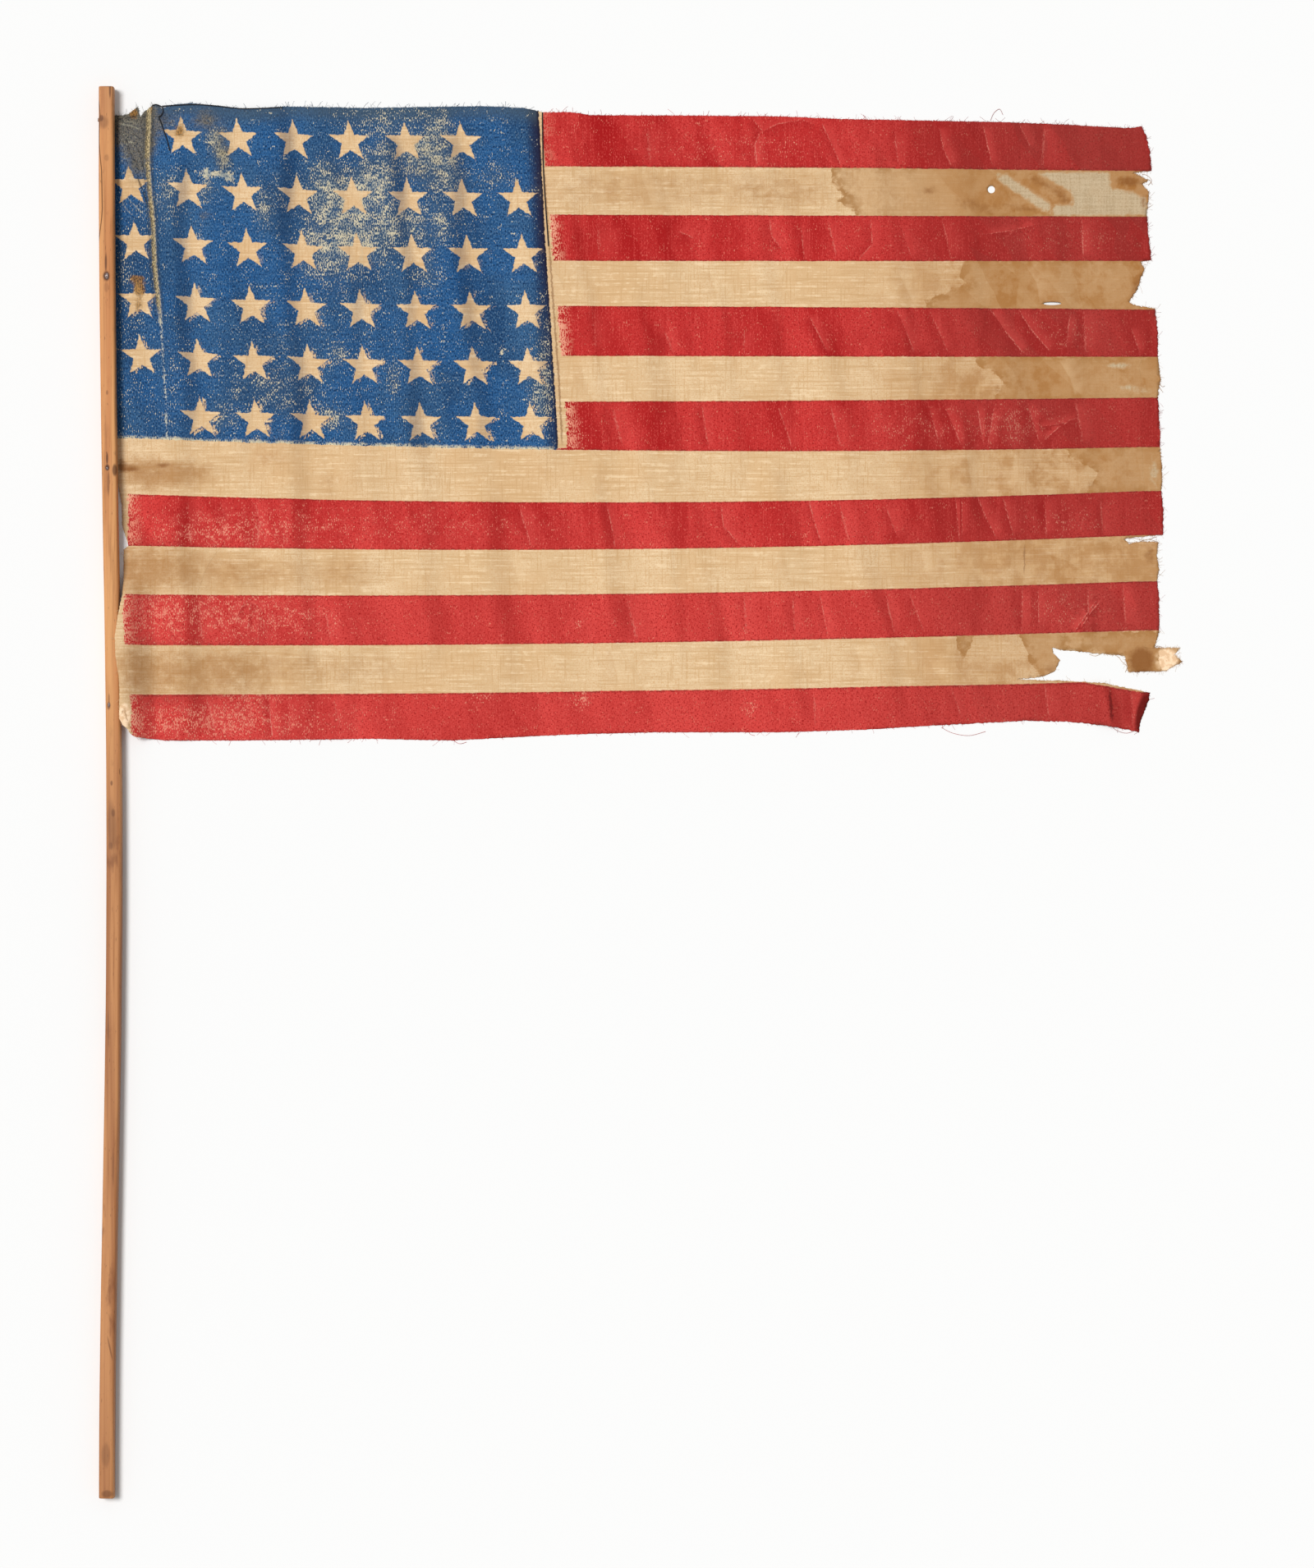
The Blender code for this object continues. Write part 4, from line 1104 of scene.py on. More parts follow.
def printed_muslin():
    """Loose plain-weave muslin, printed red and blue, rubbed, soiled and water-marked; folds and creases
    carry painted light and shade.
    """
    muslin = Finish("printed_muslin", roughness=0.95)
    muslin.surface.inputs["Specular IOR Level"].default_value = 0.08
    cloth = muslin.map("cloth")
    cloth_across, cloth_up = muslin.parts(cloth)[:2]
    warp = muslin.noise(muslin.stretched(cloth, 1700.0, 420.0), 1.0)
    weft = muslin.noise(muslin.stretched(cloth, 420.0, 1700.0, shift=7.0), 1.0)
    threads = warp * 0.5 + weft * 0.5
    grain = warp.most(weft)
    fleck = muslin.noise(muslin.stretched(cloth, 1150.0, 480.0, shift=19.0), 1.0)
    clump = muslin.noise(muslin.stretched(cloth, 95.0, 120.0, shift=23.0), 4.0, 0.65)
    slub = muslin.noise(muslin.stretched(cloth, 24.0, 620.0, shift=3.0), 2.0)
    slub_up = muslin.noise(muslin.stretched(cloth, 620.0, 30.0, shift=13.0), 2.0)
    patchy = muslin.noise(muslin.stretched(cloth, 60.0, 60.0, shift=11.0), 4.0, 0.6)
    fine = muslin.noise(muslin.stretched(cloth, 210.0, 210.0, shift=17.0), 3.0, 0.6)
    broad = muslin.noise(muslin.stretched(cloth, 13.0, 13.0, shift=5.0), 3.0, 0.55)
    wobble = muslin.noise(muslin.stretched(cloth, 350.0, 350.0, shift=2.0), 2.0) - 0.5
    # Bands, panels and facets of the crumpled cloth, for its bumps and for tones that are partly uneven dye
    # and partly painted light and shade
    slant = muslin.node("ShaderNodeCombineXYZ", {},
                        {0: cloth_across + cloth_up * 0.22 + (broad - 0.5) * 0.02, 1: cloth_up})
    on_panels = muslin.stretched(slant, 25.0, 7.0, shift=2.0)
    panel = muslin.parts(muslin.node("ShaderNodeTexVoronoi", {"voronoi_dimensions": "2D"},
                                     {"Vector": on_panels, "Scale": 1.0}, output=1))[0]
    steep = muslin.node("ShaderNodeCombineXYZ", {},
                        {0: cloth_across + cloth_up * 0.6 + (broad - 0.5) * 0.03, 1: cloth_up})
    on_facets = muslin.stretched(steep, 44.0, 11.0, shift=8.0)
    facet = muslin.parts(muslin.node("ShaderNodeTexVoronoi", {"voronoi_dimensions": "2D"},
                                     {"Vector": on_facets, "Scale": 1.0}, output=1))[0]
    tone_and_facet_shade = muslin.noise(muslin.stretched(slant, 30.0, 4.0, shift=1.0), 2.0, 0.5)
    tone_and_facet_shade = (tone_and_facet_shade - 0.5) * 1.5 + (patchy - 0.5) * 0.5 + 0.5
    tone_and_facet_shade = tone_and_facet_shade.ease(0.28, 0.72) * 0.42 + panel * 0.34 + facet * 0.24

    abrasion = muslin.number("abrasion")
    flap = muslin.number("flap").ease(0.35, 0.6)
    canton_mm = muslin.number("canton")
    in_canton = canton_mm.ease(-1.0, 1.0)
    rubbed_reds = abrasion * (0.55 + 0.9 * fine.ease(0.36, 0.64)) * (1.0 - in_canton)
    rubbed = (rubbed_reds + abrasion * (0.5 + patchy) * in_canton).clamped()
    wear = (fleck - 0.5) + (clump - 0.5) * 0.9
    speck = (wear - 0.26).ease(0.0, 0.08)
    fine_wear = (fleck - 0.5) * 1.3 + (clump - 0.5) * 0.6
    flaked = (fine_wear + rubbed.least(0.8) * 0.52 - 0.37).ease(0.0, 0.08)
    flaked = flaked * rubbed.ease(0.02, 0.15)
    patch = muslin.number("patch") + (clump - 0.5) * 1.3 + (fleck - 0.5) * 1.2
    patch = patch.ease(0.34, 0.50) * 0.9

    # Bare cloth, its bands partly uneven tone and partly painted light and shade of the facets
    bare = muslin.blend(tone_and_facet_shade, colour(211, 178, 135), colour(227, 198, 158))
    bare = muslin.blend(broad.ease(0.45, 0.75) * 0.6, bare, colour(212, 172, 124))
    bare = muslin.blend(patchy.ease(0.56, 0.74) * 0.35, bare, colour(205, 163, 114))
    bare = muslin.blend(threads.ease(0.36, 0.52), colour(211, 172, 127), bare)
    bare = muslin.blend((1.0 - slub.least(slub_up).ease(0.30, 0.44)) * 0.6, bare,
                        colour(200, 161, 114))
    bare = muslin.blend((fine * 0.4 + slub * 0.6).ease(0.53, 0.68) * 0.6, bare,
                        colour(240, 213, 174))
    bare = muslin.blend(flap, bare, muslin.blend(fine.ease(0.4, 0.6), colour(228, 190, 150),
                                                 colour(250, 218, 182)))

    # Stars, seen where the blue is missing
    star_map = muslin.parts(muslin.map("star"))

    def star(shift_x, shift_y):
        across = star_map[0] - shift_x
        up = star_map[1] - shift_y
        reach = (across * across + up * up) ** 0.5
        turn = muslin.node("ShaderNodeMath", {"operation": "ARCTAN2"}, {0: across, 1: up})
        fifth = 2.0 * math.pi / 5.0
        fold = muslin.node("ShaderNodeMath", {"operation": "PINGPONG"},
                           {0: turn + 4.0 * fifth, 1: fifth / 2.0})
        east = reach * muslin.node("ShaderNodeMath", {"operation": "COSINE"}, {0: fold})
        north = reach * fold.sine()
        notch = 0.41
        run_x = notch * math.cos(fifth / 2.0) - 1.0
        run_y = notch * math.sin(fifth / 2.0)
        length = math.hypot(run_x, run_y)
        return (east - 1.0) * (run_y / length) + north * (-run_x / length)

    edge = 0.025
    crisp = 1.0 - (star(0.0, 0.0) + wobble * 0.12).ease(-edge, edge)
    lower = (cloth_up * -1.0).ease(0.10, 0.22)
    ghost = 1.0 - (star(0.20, -0.04) + wobble * 0.3).ease(-edge, edge)
    ghost = ghost * (wear + 0.06).ease(0.0, 0.08) * patchy.ease(0.42, 0.56) * lower
    stars = crisp.most(ghost)

    # Blue canton, darkened to a line at its right edge; its bands are partly uneven dye and partly painted
    # light and shade
    canton = (canton_mm + wobble * 1.6 + (fine - 0.5) * 2.0).ease(-0.3, 0.4)
    right_mm = muslin.number("canton_right")
    upper_half = 1.0 - muslin.number("stripe").ease(2.5, 5.0)
    near_edge = (1.0 - (right_mm + wobble * 3.0).ease(2.0, 15.0)) * (0.62 + 0.3 * upper_half)
    edge_line = 1.0 - right_mm.ease(0.9, 2.6)
    blue = muslin.blend(tone_and_facet_shade, colour(30, 67, 108), colour(58, 98, 138))
    blue = muslin.blend(broad.ease(0.38, 0.62) * 0.6, blue, colour(38, 94, 150))
    blue = muslin.blend(slub.ease(0.48, 0.6) * 0.3, blue, colour(32, 64, 102))
    blue = muslin.blend((fleck * 0.6 + threads * 0.4).ease(0.54, 0.68) * 0.65, blue,
                        colour(104, 134, 156))
    blue = muslin.blend((fleck * 0.5 + threads * 0.5).ease(0.37, 0.49), colour(22, 46, 78), blue)
    blue = muslin.blend(rubbed.ease(0.1, 0.7) * 0.55, blue, colour(64, 81, 99))
    blue = muslin.blend(near_edge, blue, colour(36, 32, 54))
    hem = 1.0 - (muslin.number("top_edge") + wobble * 3.0).ease(2.0, 17.0)
    blue = muslin.blend(hem * 0.6, blue, colour(70, 84, 94))
    frayed_foot = 1.0 - (canton_mm + wobble * 3.0).ease(0.5, 3.5)
    flecked_foot = frayed_foot * (wear + 0.12).ease(0.0, 0.08)
    flecked_foot = flecked_foot * muslin.number("canton_right").ease(3.0, 6.0)
    blue = muslin.blend(speck * 0.55, blue, colour(138, 152, 160))
    blue_loss = (flaked * 0.9).most(patch).most(flecked_foot)
    rubbed_bare = muslin.blend(clump.ease(0.4, 0.6), colour(160, 164, 156), colour(212, 200, 168))
    blue = muslin.blend(blue_loss, blue, rubbed_bare)
    blue_print = muslin.blend(stars, blue, bare)
    blue_print = muslin.blend(edge_line * 0.8, blue_print, colour(34, 26, 40))

    # Red stripes, in light and dark bands between the folds, partly uneven dye and partly painted light and
    # shade of the facets
    number = muslin.number("stripe")
    wave = (number * math.pi).sine()
    across_red = (wave + wobble * 0.06).ease(-0.03, 0.03)
    uneven = 0.35 + 0.65 * number.ease(0.9, 2.2)
    started = muslin.number("red_start") + (wobble * 5.0 + (fine - 0.5) * 3.0) * uneven
    started = started.ease(-0.4, 0.6)
    thinned = (1.0 - muslin.number("red_start").ease(0.0, 14.0)) * uneven
    red_rim = (wave + wobble * 0.06).ease(-0.02, 0.02) * (1.0 - (wave + wobble * 0.1).ease(0.05, 0.12))
    red_area = across_red * started * (1.0 - canton) * (1.0 - flap)
    # Painted shade on the sides of the folds that face away from the light
    painted_lee_shade = muslin.number("shadow_side").ease(0.03, 0.26)
    red = muslin.blend(tone_and_facet_shade, colour(158, 20, 23), colour(210, 66, 62))
    red = muslin.blend(broad.ease(0.4, 0.7) * 0.25, red, colour(192, 46, 44))
    red = muslin.blend((cloth_up * -1.0).ease(0.33, 0.43) * 0.32, red, colour(226, 88, 80))
    red = muslin.blend(threads.ease(0.36, 0.50), colour(158, 28, 28), red)
    red = muslin.blend((slub_up * 0.4 + fleck * 0.6).ease(0.52, 0.66) * 0.5, red,
                       colour(216, 84, 78))
    # Painted shade on the red where the folds face away from the light
    red = muslin.blend(painted_lee_shade * 0.45, red, colour(146, 24, 22))
    red = muslin.blend(red_rim * fine.ease(0.35, 0.6) * 0.6, red, colour(118, 28, 26))
    red_loss = (flaked * 0.75).most(speck * 0.35).most((wear + 0.02).ease(0.0, 0.07) * thinned)
    red_print = muslin.blend(red_loss.clamped(), red, colour(230, 160, 132))
    red_print = muslin.blend(rubbed * clump.ease(0.38, 0.6) * 0.42, red_print,
                             colour(218, 102, 94))

    # Painted shade where the folds face away from the light, on bare cloth here and on the canton below
    shade = muslin.blend(painted_lee_shade * 0.14, bare, colour(188, 146, 102))
    shade = muslin.blend(red_area, shade, red_print)
    shade = muslin.blend(canton, shade, blue_print)
    shade = muslin.blend(canton * painted_lee_shade * 0.45, shade, colour(24, 50, 84))

    # Soil, tide marks and stains
    not_print = 1.0 - red_area.most(canton)
    tide = muslin.number("tide") + (patchy - 0.5) * 12.0 + (fine - 0.5) * 4.0
    wet = tide.ease(-0.5, 0.7) * not_print
    rim = wet * (1.0 - tide.ease(0.5, 12.0))
    wet_shade = muslin.blend((patchy * 0.6 + fine * 0.4).ease(0.40, 0.60), colour(182, 140, 96),
                             colour(202, 164, 120))
    shade = muslin.blend(wet * 0.68, shade, wet_shade)
    shade = muslin.blend(rim * clump.ease(0.38, 0.58) * 0.8, shade, colour(160, 115, 66))
    sheer = muslin.number("sheer") + (fine - 0.5) * 0.7 + (patchy - 0.5) * 0.5
    sheer = sheer.ease(0.24, 0.80) * not_print
    shade = muslin.blend(sheer * 0.8, shade, muslin.blend(
        (threads * 0.5 + slub * 0.25 + slub_up * 0.25).ease(0.38, 0.58), colour(172, 155, 125),
        colour(198, 182, 152)))
    blotch = (patchy * 0.6 + broad * 0.2 + fine * 0.2).ease(0.42, 0.60)
    # Dust at the fly, less down the flag; its facet term also paints shade on the wrinkles' facets
    dust_and_facet_shade = (0.40 + 0.46 * blotch + 0.26 * facet) * (1.0 - red_area)
    dust_and_facet_shade = dust_and_facet_shade + (0.48 + 0.2 * facet) * red_area
    dust_and_facet_shade = dust_and_facet_shade * cloth_across.ease(0.60, 0.80) * (cloth_up * 0.85 + 1.15)
    mottle = 0.45 + red_area * 0.35 + clump * (1.1 - red_area * 0.7)
    dirty = (muslin.number("soil") * mottle + (clump - 0.5) * 0.2).clamped()
    dirty = (dirty.ease(0.05, 0.75) * (0.8 + canton * 0.15)).most(dust_and_facet_shade)
    dirty = dirty * (1.0 - flap) * (1.0 - sheer * 0.85)
    soil_shade = muslin.blend(red_area, colour(162, 110, 58), colour(112, 44, 38))
    soil_shade = muslin.blend(canton, soil_shade, muslin.blend(
        threads.ease(0.4, 0.56), colour(60, 58, 48), colour(128, 116, 92)))
    shade = muslin.blend(dirty * 0.85, shade, soil_shade)
    stain = wobble * 0.3 + (fine - 0.5) * 0.5 + (patchy - 0.5) * 0.3
    stain = muslin.number("stain") + stain * (0.5 + 0.5 * canton)
    stain = stain.ease(0.22, 0.65)
    shade = muslin.blend(stain * 0.85, shade, muslin.blend(
        canton, colour(136, 86, 44), muslin.blend(fleck.ease(0.42, 0.58), colour(88, 64, 34),
                                                  colour(166, 118, 58))))
    # Creases: pale lines where the print has cracked, drawn darker on bare cloth; painted light and shade
    # beside them, and painted shade along folds given a negative strength
    crease = muslin.parts(muslin.map("crease"))
    line = 1.0 - abs(crease[0] + wobble * 2.2 + (fine - 0.5) * 1.2).ease(0.25, 1.3)
    broken = (patchy * 0.5 + fleck * 0.5).ease(0.42, 0.62)
    crack = line * crease[1].most(0.0) * broken * 0.85
    # A line of painted shade along creases given a negative strength
    shaded_crease_line = line * (crease[1] * -1.0).most(0.0)
    printed = red_area.most(canton)
    # Beside a crease, a painted highlight on one side and painted shade on the other
    beside = (1.0 - abs(crease[0]).ease(1.0, 17.0)) * crease[1].most(0.0)
    lit = crease[0].ease(-0.6, 0.6)
    shade = muslin.blend(beside * lit * red_area * 0.45, shade, colour(216, 82, 76))
    shade = muslin.blend(beside * (1.0 - lit) * red_area * 0.45, shade, colour(142, 24, 26))
    shade = muslin.blend(beside * lit * not_print * 0.35, shade, colour(238, 208, 166))
    shade = muslin.blend(beside * (1.0 - lit) * not_print * 0.35, shade, colour(184, 142, 98))
    pale_crack = muslin.blend(canton, colour(226, 140, 124), colour(186, 182, 158))
    shade = muslin.blend(crack * printed, shade, pale_crack)
    shade = muslin.blend(crack * (1.0 - printed) * 0.35, shade,
                         colour(184, 142, 98))
    shade = muslin.blend(shaded_crease_line * 0.75, shade, muslin.blend(
        printed, colour(140, 100, 66), muslin.blend(canton, colour(88, 20, 20),
                                                    colour(30, 30, 38))))

    # Frayed pleat beside the stick, painted darker on its left side, with a painted shadow beside it
    pleat_mm = muslin.number("pleat") + (clump - 0.5) * 1.2
    pleat = abs(pleat_mm + wobble * 1.6)
    top_part = 1.0 - number.ease(3.9, 4.6)
    frayed = (1.0 - (pleat + (1.0 - top_part) * 1.2).ease(1.0, 3.0)) * canton
    tufted = (fleck * 0.6 + clump * 0.4).ease(0.34, 0.50)
    frayed = frayed * (top_part * (0.55 + 0.4 * tufted)).most((wear + 0.04).ease(0.0, 0.12))
    # The frayed threads, with painted shade on the pleat's left side
    pleat_shade = muslin.blend((fleck * 0.6 + (pleat_mm * 0.14 + 0.5) * 0.4).ease(0.42, 0.62),
                               colour(104, 92, 66), colour(196, 176, 134))
    pleat_shade = muslin.blend(top_part, colour(190, 190, 176), pleat_shade)
    shade = muslin.blend(frayed, shade, pleat_shade)
    # Painted shadow beside the raised pleat
    pleat_shadow = pleat.ease(2.0, 3.0) * (1.0 - pleat.ease(3.2, 6.0)) * top_part * canton
    shade = muslin.blend(pleat_shadow * 0.4, shade, colour(52, 52, 48))

    # Painted shade on the curled end of the lowest red stripe
    dark_end = muslin.number("dark_end").ease(0.25, 0.65)
    shade = muslin.blend(dark_end * 0.85, shade, colour(84, 14, 10))
    muslin.feed("Base Color", shade)

    pitch = 2.0 * math.pi / 0.0008
    weave = (cloth_across * pitch).sine() * (cloth_up * pitch).sine() * 0.2
    height = weave + grain * 0.7 + slub * 0.5 + patchy * 1.5 + broad * 2.0
    height = height + line * crease[1] * 0.8 + panel * 0.9
    muslin.raised(height, 0.17)
    return muslin.material


# Marks on the stick's front: knots, dark wood round the tacks, splits and scratches
WOOD_MARKS = (
    Spot(132.2, 338.6, 4.9, 7.0, 0, 0.95),
    Spot(131.5, 322, 1.6, 14, 0, 0.75),
    Spot(132, 352, 3.4, 7, 0, 0.25),
    Spot(133.2, 571, 3.2, 4.6, 0, 0.95),
    Spot(133, 560, 1.5, 9, 0, 0.85),
    Spot(134.5, 590, 1.8, 18, 0, 0.5),
    Spot(142, 574, 3.2, 8, 0, 0.75),
    Spot(134.5, 860, 2.6, 5.5, 0, 0.6),
    Spot(134.8, 852, 1.6, 8, 0, 0.4),
    Spot(126, 147, 3.0, 4.5, 0, 0.6),
    Spot(129, 152, 6, 9, 0, 0.35),
    Spot(132, 195, 3.2, 4.6, 0, 0.25),
    Spot(136.5, 112, 1.3, 12, 0, 0.7),
    Spot(133, 480, 1.6, 3.2, 0, 0.45),
    Spot(138, 954, 1.6, 3.4, 0, 0.6),
    Spot(139, 1008, 6, 34, 3, 0.35),
    Spot(140, 990, 2.4, 6, 0, 0.45),
    Spot(137, 1030, 3.0, 5, 0, 0.35),
    Spot(136, 1640, 1.2, 16, 12, 0.5),
    Spot(134, 1250, 1.2, 22, 0, 0.35),
    Spot(140, 1420, 1.3, 26, 0, 0.35),
    Spot(131, 1770, 6, 16, 0, 0.3),
    Spot(133, 1817, 8, 5, 0, 0.5),
    Spot(134, 106, 8, 3.5, 0, 0.45),
)
SPLIT = ((140, 124.5), (155, 123.6), (172, 122.9), (192, 124.3), (212, 126.4), (262, 127.4))


def aged_pine():
    """Planed pine, orange where it was covered and browner below, with grain and scratches."""
    pine = Finish("aged_pine", roughness=0.62)
    pine.surface.inputs["Specular IOR Level"].default_value = 0.3
    place = pine.node("ShaderNodeTexCoord", output=3)
    grain = pine.noise(pine.stretched(place, 420.0, 9.0, 420.0), 4.0, 0.6, flat=False)
    streak = pine.noise(pine.stretched(place, 900.0, 5.0, 900.0, shift=6.0), 3.0, 0.6, flat=False)
    rings = pine.noise(pine.stretched(place, 130.0, 3.0, 130.0, shift=4.0), 2.0, 0.5, flat=False)
    mottle = pine.noise(pine.stretched(place, 90.0, 25.0, 90.0, shift=9.0), 4.0, 0.65, flat=False)
    fleck = pine.noise(pine.stretched(place, 900.0, 120.0, 900.0, shift=2.0), 2.0, 0.6, flat=False)
    across, up, rise = pine.parts(place)
    lower = 1.0 - up.ease(-0.05, 0.12)
    fresh = pine.blend(rings.ease(0.35, 0.65), colour(214, 155, 98), colour(196, 130, 78))
    old = pine.blend(rings.ease(0.35, 0.65), colour(190, 132, 84), colour(158, 102, 62))
    shade = pine.blend(lower, fresh, old)
    shade = pine.blend(up.ease(0.56, 0.60) * 0.45, shade, colour(168, 112, 76))
    shade = pine.blend(grain.ease(0.48, 0.72) * 0.5, shade, colour(138, 84, 46))
    shade = pine.blend(streak.ease(0.56, 0.70) * 0.45, shade, colour(150, 92, 50))
    shade = pine.blend(mottle.ease(0.52, 0.75) * (0.3 + 0.5 * lower), shade, colour(128, 78, 46))
    shade = pine.blend(fleck.ease(0.66, 0.74) * 0.6, shade, colour(84, 50, 30))
    for mark in WOOD_MARKS:
        middle_x, middle_y, _ = placed(*on_flag(mark.x, mark.y))
        turn = math.tan(math.radians(mark.turn))
        east = (across - middle_x + (up - middle_y) * turn) * (1.0 / (mark.across * MM_PER_PIXEL * MM))
        north = (up - middle_y) * (1.0 / (mark.down * MM_PER_PIXEL * MM))
        away = (east * east + north * north) ** 0.5 + (grain - 0.5) * 0.8
        inside = (1.0 - away.ease(0.55, 1.15)) * mark.amount * rise.ease(0.008, 0.011)
        shade = pine.blend(inside, shade, colour(78, 42, 24))
    split = abs(pine.number("split") + (grain - 0.5) * 0.6)
    crack = 1.0 - split.ease(0.15, 0.55)
    shade = pine.blend(crack * 0.8, shade, colour(70, 36, 20))
    pine.feed("Base Color", shade)
    pine.feed("Roughness", 0.52 + 0.22 * grain)
    pine.raised(grain * 0.7 + fleck * 0.3 + mottle * 0.4 - crack * 1.5, 0.25)
    return pine.material


def dark_thread():
    """Sewing thread and the line along the rolled hem, nearly black."""
    thread = Finish("dark_thread", roughness=0.9)
    twist = thread.noise(thread.stretched(thread.map("cloth"), 900.0, 900.0), 2.0)
    thread.feed("Base Color", thread.blend(twist, colour(10, 11, 17), colour(34, 35, 42)))
    thread.raised(twist, 0.1)
    return thread.material


def rusty_steel():
    """Old steel, brown with rust where it is not rubbed bright."""
    steel = Finish("rusty_steel", roughness=0.5)
    place = steel.node("ShaderNodeTexCoord", output=3)
    pits = steel.noise(steel.stretched(place, 2200.0, 2200.0, 2200.0), 3.0, 0.6, flat=False)
    rust = pits.ease(0.42, 0.58)
    shade = steel.blend(rust, colour(150, 136, 132), colour(84, 56, 48))
    steel.feed("Base Color", shade)
    steel.feed("Metallic", 1.0 - rust)
    steel.feed("Roughness", 0.38 + 0.5 * rust)
    steel.raised(pits, 0.12)
    return steel.material


def make_stick(finish):
    """The square stick, bent, with softened edges that were planed by hand."""
    chance = random.Random(5)
    bar = bmesh.new()
    bmesh.ops.create_cube(bar, size=1.0)
    bmesh.ops.scale(bar, verts=bar.verts, vec=(STICK_SIDE, STICK_LENGTH, STICK_SIDE))
    long_edges = [edge for edge in bar.edges if edge.calc_length() > STICK_SIDE * 2.0]
    bmesh.ops.bevel(bar, geom=long_edges, offset=2.6, segments=4, profile=0.5,
                    affect="EDGES", material=-1)
    end_edges = [edge for edge in bar.edges
                 if abs(edge.verts[0].co.y - edge.verts[1].co.y) < 0.01]
    bmesh.ops.bevel(bar, geom=end_edges, offset=0.7, segments=2, profile=0.5,
                    affect="EDGES", material=-1)
    stations = 150
    for station in range(1, stations):
        place = STICK_LENGTH * (station / stations - 0.5)
        everything = bar.verts[:] + bar.edges[:] + bar.faces[:]
        bmesh.ops.bisect_plane(bar, geom=everything, plane_co=(0.0, place, 0.0),
                               plane_no=(0.0, 1.0, 0.0))
    phases = [chance.uniform(0.0, 6.28) for _ in range(6)]
    for vertex in bar.verts:
        drop = MIDDLE_DROP - vertex.co.y
        swell = sum(math.sin(drop / (17.0 + 13.0 * step) + phase)
                    for step, phase in enumerate(phases)) * 0.05
        side = 1.0 + swell / STICK_SIDE
        rise = vertex.co.z + STICK_SIDE / 2.0 + float(stick_rise(drop))
        vertex.co = placed(float(stick_axis(drop)) + vertex.co.x * side, drop, rise)
    mesh = bpy.data.meshes.new("pine_stick")
    bar.to_mesh(mesh)
    bar.free()
    along, drop, rise = read_places(mesh)
    y = drop / MM_PER_PIXEL + ZERO_Y
    beside = along - (curve_at(y, SPLIT) - ZERO_X) * MM_PER_PIXEL
    beyond = np.maximum(0.0, np.maximum(SPLIT[0][0] - y, y - SPLIT[-1][0])) * 0.1
    keep_number(mesh, "split", beside + beyond + np.where(rise < 9.0, 8.0, 0.0))
    mesh.materials.append(finish)
    mesh.shade_smooth()
    mesh.set_sharp_from_angle(angle=math.radians(40.0))
    return new_piece("pine_stick", mesh)


# The points of the tacks, bent over and hammered flat on the front: width, length and height
CLENCHED = (
    (Point(0.8, 148.4), 3.5, 5.4, 0.9),
    (Point(1.2, 314.3), 2.1, 2.8, 0.8),
    (Point(2.4, 518.3), 2.1, 4.0, 0.5),
)


def make_clenched_tips(chance, finish):
    """One mesh of the three tacks' flattened points, each a low uneven dome on the wood."""
    domes = bmesh.new()
    for point, width, length, height in CLENCHED:
        dome = bmesh.ops.create_uvsphere(domes, u_segments=20, v_segments=12, radius=1.0)
        for vertex in dome["verts"]:
            uneven = 1.0 + chance.uniform(-0.04, 0.04)
            flat = math.copysign(abs(vertex.co.z) ** 1.6, vertex.co.z) * height * 0.5
            rise = float(stick_rise(point.drop)) + STICK_SIDE + 0.25 * height + flat * uneven
            vertex.co = placed(point.along + vertex.co.x * width * 0.5 * uneven,
                               point.drop + vertex.co.y * length * 0.5 * uneven, rise)
    mesh = bpy.data.meshes.new("clenched_tips")
    domes.to_mesh(mesh)
    domes.free()
    mesh.materials.append(finish)
    mesh.shade_smooth()
    return new_piece("clenched_tips", mesh)


def make_frays(chance, finish):
    """Short cut fibres all along the cloth's edges, as thin threads in one mesh."""
    outline = cloth_outline()
    strands = []
    visible = outline[:-6]
    for start, end in zip(visible, visible[1:]):
        run = math.hypot(end.along - start.along, end.drop - start.drop)
        out = ((end.drop - start.drop) / run, -(end.along - start.along) / run)
        at_top = start.drop < 22.0 and end.drop < 22.0
        at_fly = start.along > 870.0 and start.drop < 500.0
        density = 2.0 if at_top else 2.6 if at_fly else 0.8
        longest = 1.3 if at_top else 1.5 if at_fly else 0.8
        for _ in range(int(run * density)):
            share = chance.random()
            along = start.along + share * (end.along - start.along)
            drop = start.drop + share * (end.drop - start.drop)
            length = chance.uniform(0.3, longest) + (chance.random() ** 16) * 5.0
            lean = chance.uniform(-1.0, 1.0)
            curl = chance.uniform(-0.5, 0.5)
            points = []
            for step in range(4):
                part = step / 3.0
                reach = length * part - 0.4
                side = length * (lean * part + curl * part * part)
                place = Point(along + out[0] * reach - out[1] * side,
                              drop + out[1] * reach + out[0] * side)
                rise = float(cloth_rise(place.along, place.drop)) + 0.2 + 0.15 * part
                points.append((*place, rise))
            strands.append((points, chance.uniform(0.04, 0.06 if at_fly else 0.09)))
    return threads_mesh("frayed_fibres", strands, finish)


def smooth_route(knots, steps=6):
    """A smooth curve through given knots."""
    ends = [knots[0]] + list(knots) + [knots[-1]]
    route = []
    for before, start, end, after in zip(ends, ends[1:], ends[2:], ends[3:]):
        for step in range(steps):
            t = step / steps
            route.append(tuple(
                0.5 * (2.0 * b + (c - a) * t + (2.0 * a - 5.0 * b + 4.0 * c - d) * t * t
                       + (3.0 * b - a - 3.0 * c + d) * t ** 3)
                for a, b, c, d in zip(before, start, end, after)))
    route.append(tuple(knots[-1]))
    return route


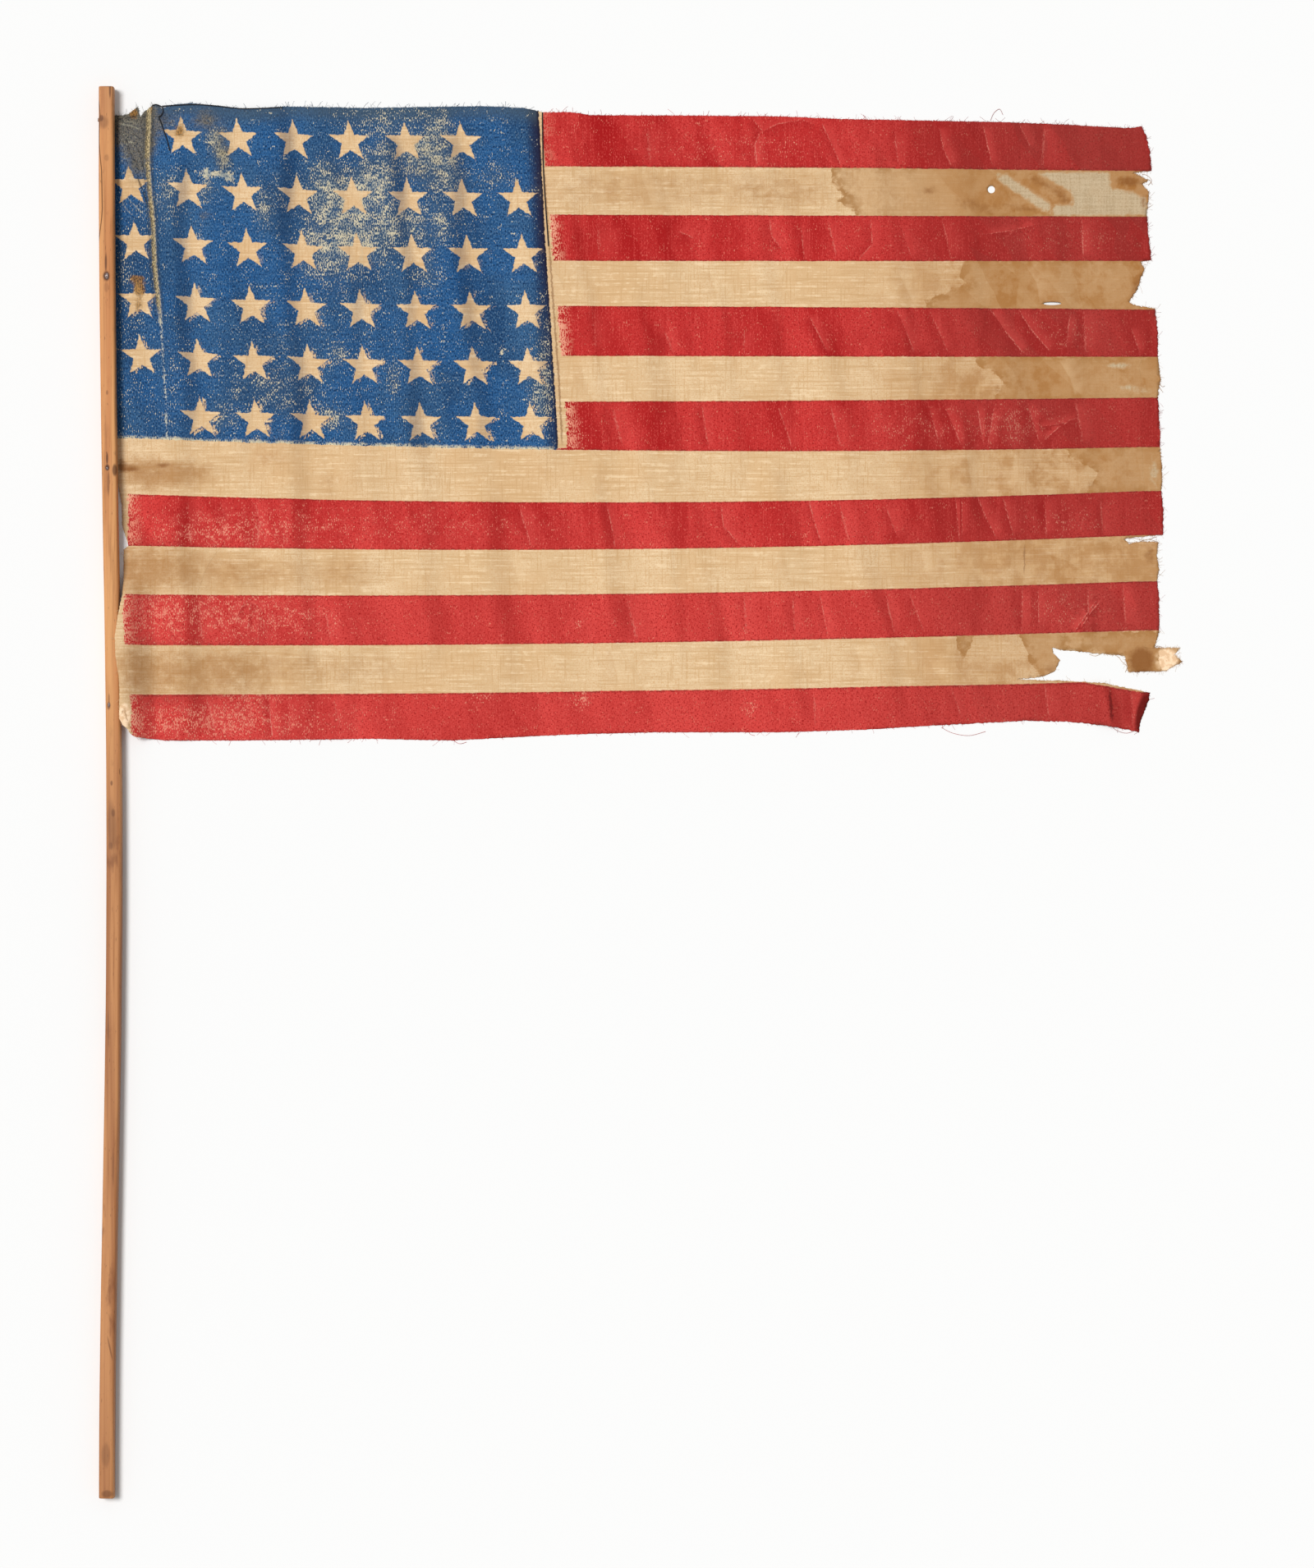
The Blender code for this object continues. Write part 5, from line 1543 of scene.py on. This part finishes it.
def make_threads(name, table, radius, finish):
    """Loose threads, lying on the cloth or just past its edge."""
    strands = []
    for knots in table:
        points = []
        for x, y in smooth_route(knots):
            along, drop = on_flag(x, y)
            points.append((along, drop, float(cloth_rise(along, drop)) + MUSLIN_THICKNESS + radius))
        strands.append((points, radius))
    return threads_mesh(name, strands, finish)


def threads_mesh(name, strands, finish):
    drawn = bpy.data.curves.new(name, "CURVE")
    drawn.dimensions = "3D"
    drawn.bevel_depth = 0.1 * MM
    drawn.bevel_resolution = 0
    drawn.use_fill_caps = True
    for points, radius in strands:
        spline = drawn.splines.new("POLY")
        spline.points.add(len(points) - 1)
        for knot, point in zip(spline.points, points):
            knot.co = (*placed(*point), 1.0)
            knot.radius = radius / 0.1
    tube = new_piece(name, drawn)
    bpy.context.view_layer.update()
    evaluated = tube.evaluated_get(bpy.context.evaluated_depsgraph_get())
    mesh = bpy.data.meshes.new_from_object(evaluated)
    bpy.data.objects.remove(tube, do_unlink=True)
    bpy.data.curves.remove(drawn)
    mesh.name = name
    mesh.materials.clear()
    mesh.materials.append(finish)
    print_on(mesh)
    return new_piece(name, mesh)


def make_floor():
    ground = bmesh.new()
    bmesh.ops.create_grid(ground, x_segments=1, y_segments=1, size=8.0)
    mesh = bpy.data.meshes.new("floor")
    ground.to_mesh(mesh)
    ground.free()
    floor = new_piece("floor", mesh)
    paper = Finish("pale_paper", roughness=1.0)
    paper.surface.inputs["Base Color"].default_value = (0.85, 0.85, 0.845, 1.0)
    paper.surface.inputs["Specular IOR Level"].default_value = 0.0
    mesh.materials.append(paper.material)


def light_scene():
    world = bpy.data.worlds.new("studio")
    world.use_nodes = True
    world.node_tree.nodes["Background"].inputs["Color"].default_value = (1.0, 1.0, 1.0, 1.0)
    world.node_tree.nodes["Background"].inputs["Strength"].default_value = 0.36
    bpy.context.scene.world = world
    lamp = bpy.data.lights.new("key", "SUN")
    lamp.energy = 2.75
    lamp.angle = math.radians(22.0)
    key = bpy.data.objects.new("key", lamp)
    key.rotation_euler = Vector((0.42, -0.22, -1.0)).to_track_quat("-Z", "Y").to_euler()
    bpy.context.scene.collection.objects.link(key)
    bpy.context.scene.view_settings.view_transform = "Standard"


def make_camera():
    height = 4.0
    view = bpy.data.cameras.new("camera")
    view.sensor_fit = "VERTICAL"
    view.sensor_height = 24.0
    view.lens = view.sensor_height / (PHOTO_HEIGHT * MM_PER_PIXEL * MM) * height
    camera = bpy.data.objects.new("camera", view)
    middle = on_flag(PHOTO_WIDTH / 2.0, PHOTO_HEIGHT / 2.0)
    camera.location = placed(*middle, height / MM)
    bpy.context.scene.collection.objects.link(camera)
    bpy.context.scene.camera = camera


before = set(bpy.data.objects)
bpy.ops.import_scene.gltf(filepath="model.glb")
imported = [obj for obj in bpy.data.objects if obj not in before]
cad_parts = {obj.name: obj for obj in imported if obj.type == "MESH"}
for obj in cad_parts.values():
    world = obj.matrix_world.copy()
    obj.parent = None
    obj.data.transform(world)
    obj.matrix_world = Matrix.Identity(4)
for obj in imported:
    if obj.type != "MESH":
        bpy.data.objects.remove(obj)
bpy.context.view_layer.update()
make_camera()
light_scene()
make_floor()

chance = random.Random(45)
muslin_finish = printed_muslin()
pine_finish = aged_pine()
steel_finish = rusty_steel()
thread_finish = dark_thread()

sheet = make_sheet(chance)
sheet.data.materials.clear()
sheet.data.materials.append(muslin_finish)
sheet.data.shade_smooth()
print_on(sheet.data)
frays = make_frays(chance, muslin_finish)
dark_threads = make_threads("dark_threads", DARK_THREADS, 0.5, thread_finish)
loose_threads = make_threads("loose_threads", LOOSE_THREADS, 0.14, muslin_finish)
stick = make_stick(pine_finish)

tips = make_clenched_tips(chance, steel_finish)

for name in ("tack_1", "tack_2", "tack_3", "nail_top"):
    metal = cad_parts[name].data
    metal.materials.clear()
    metal.materials.append(steel_finish)

for piece in (sheet, frays, dark_threads, loose_threads, stick, tips):
    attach(piece, "root")
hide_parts("flag_cloth")
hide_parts("stick")
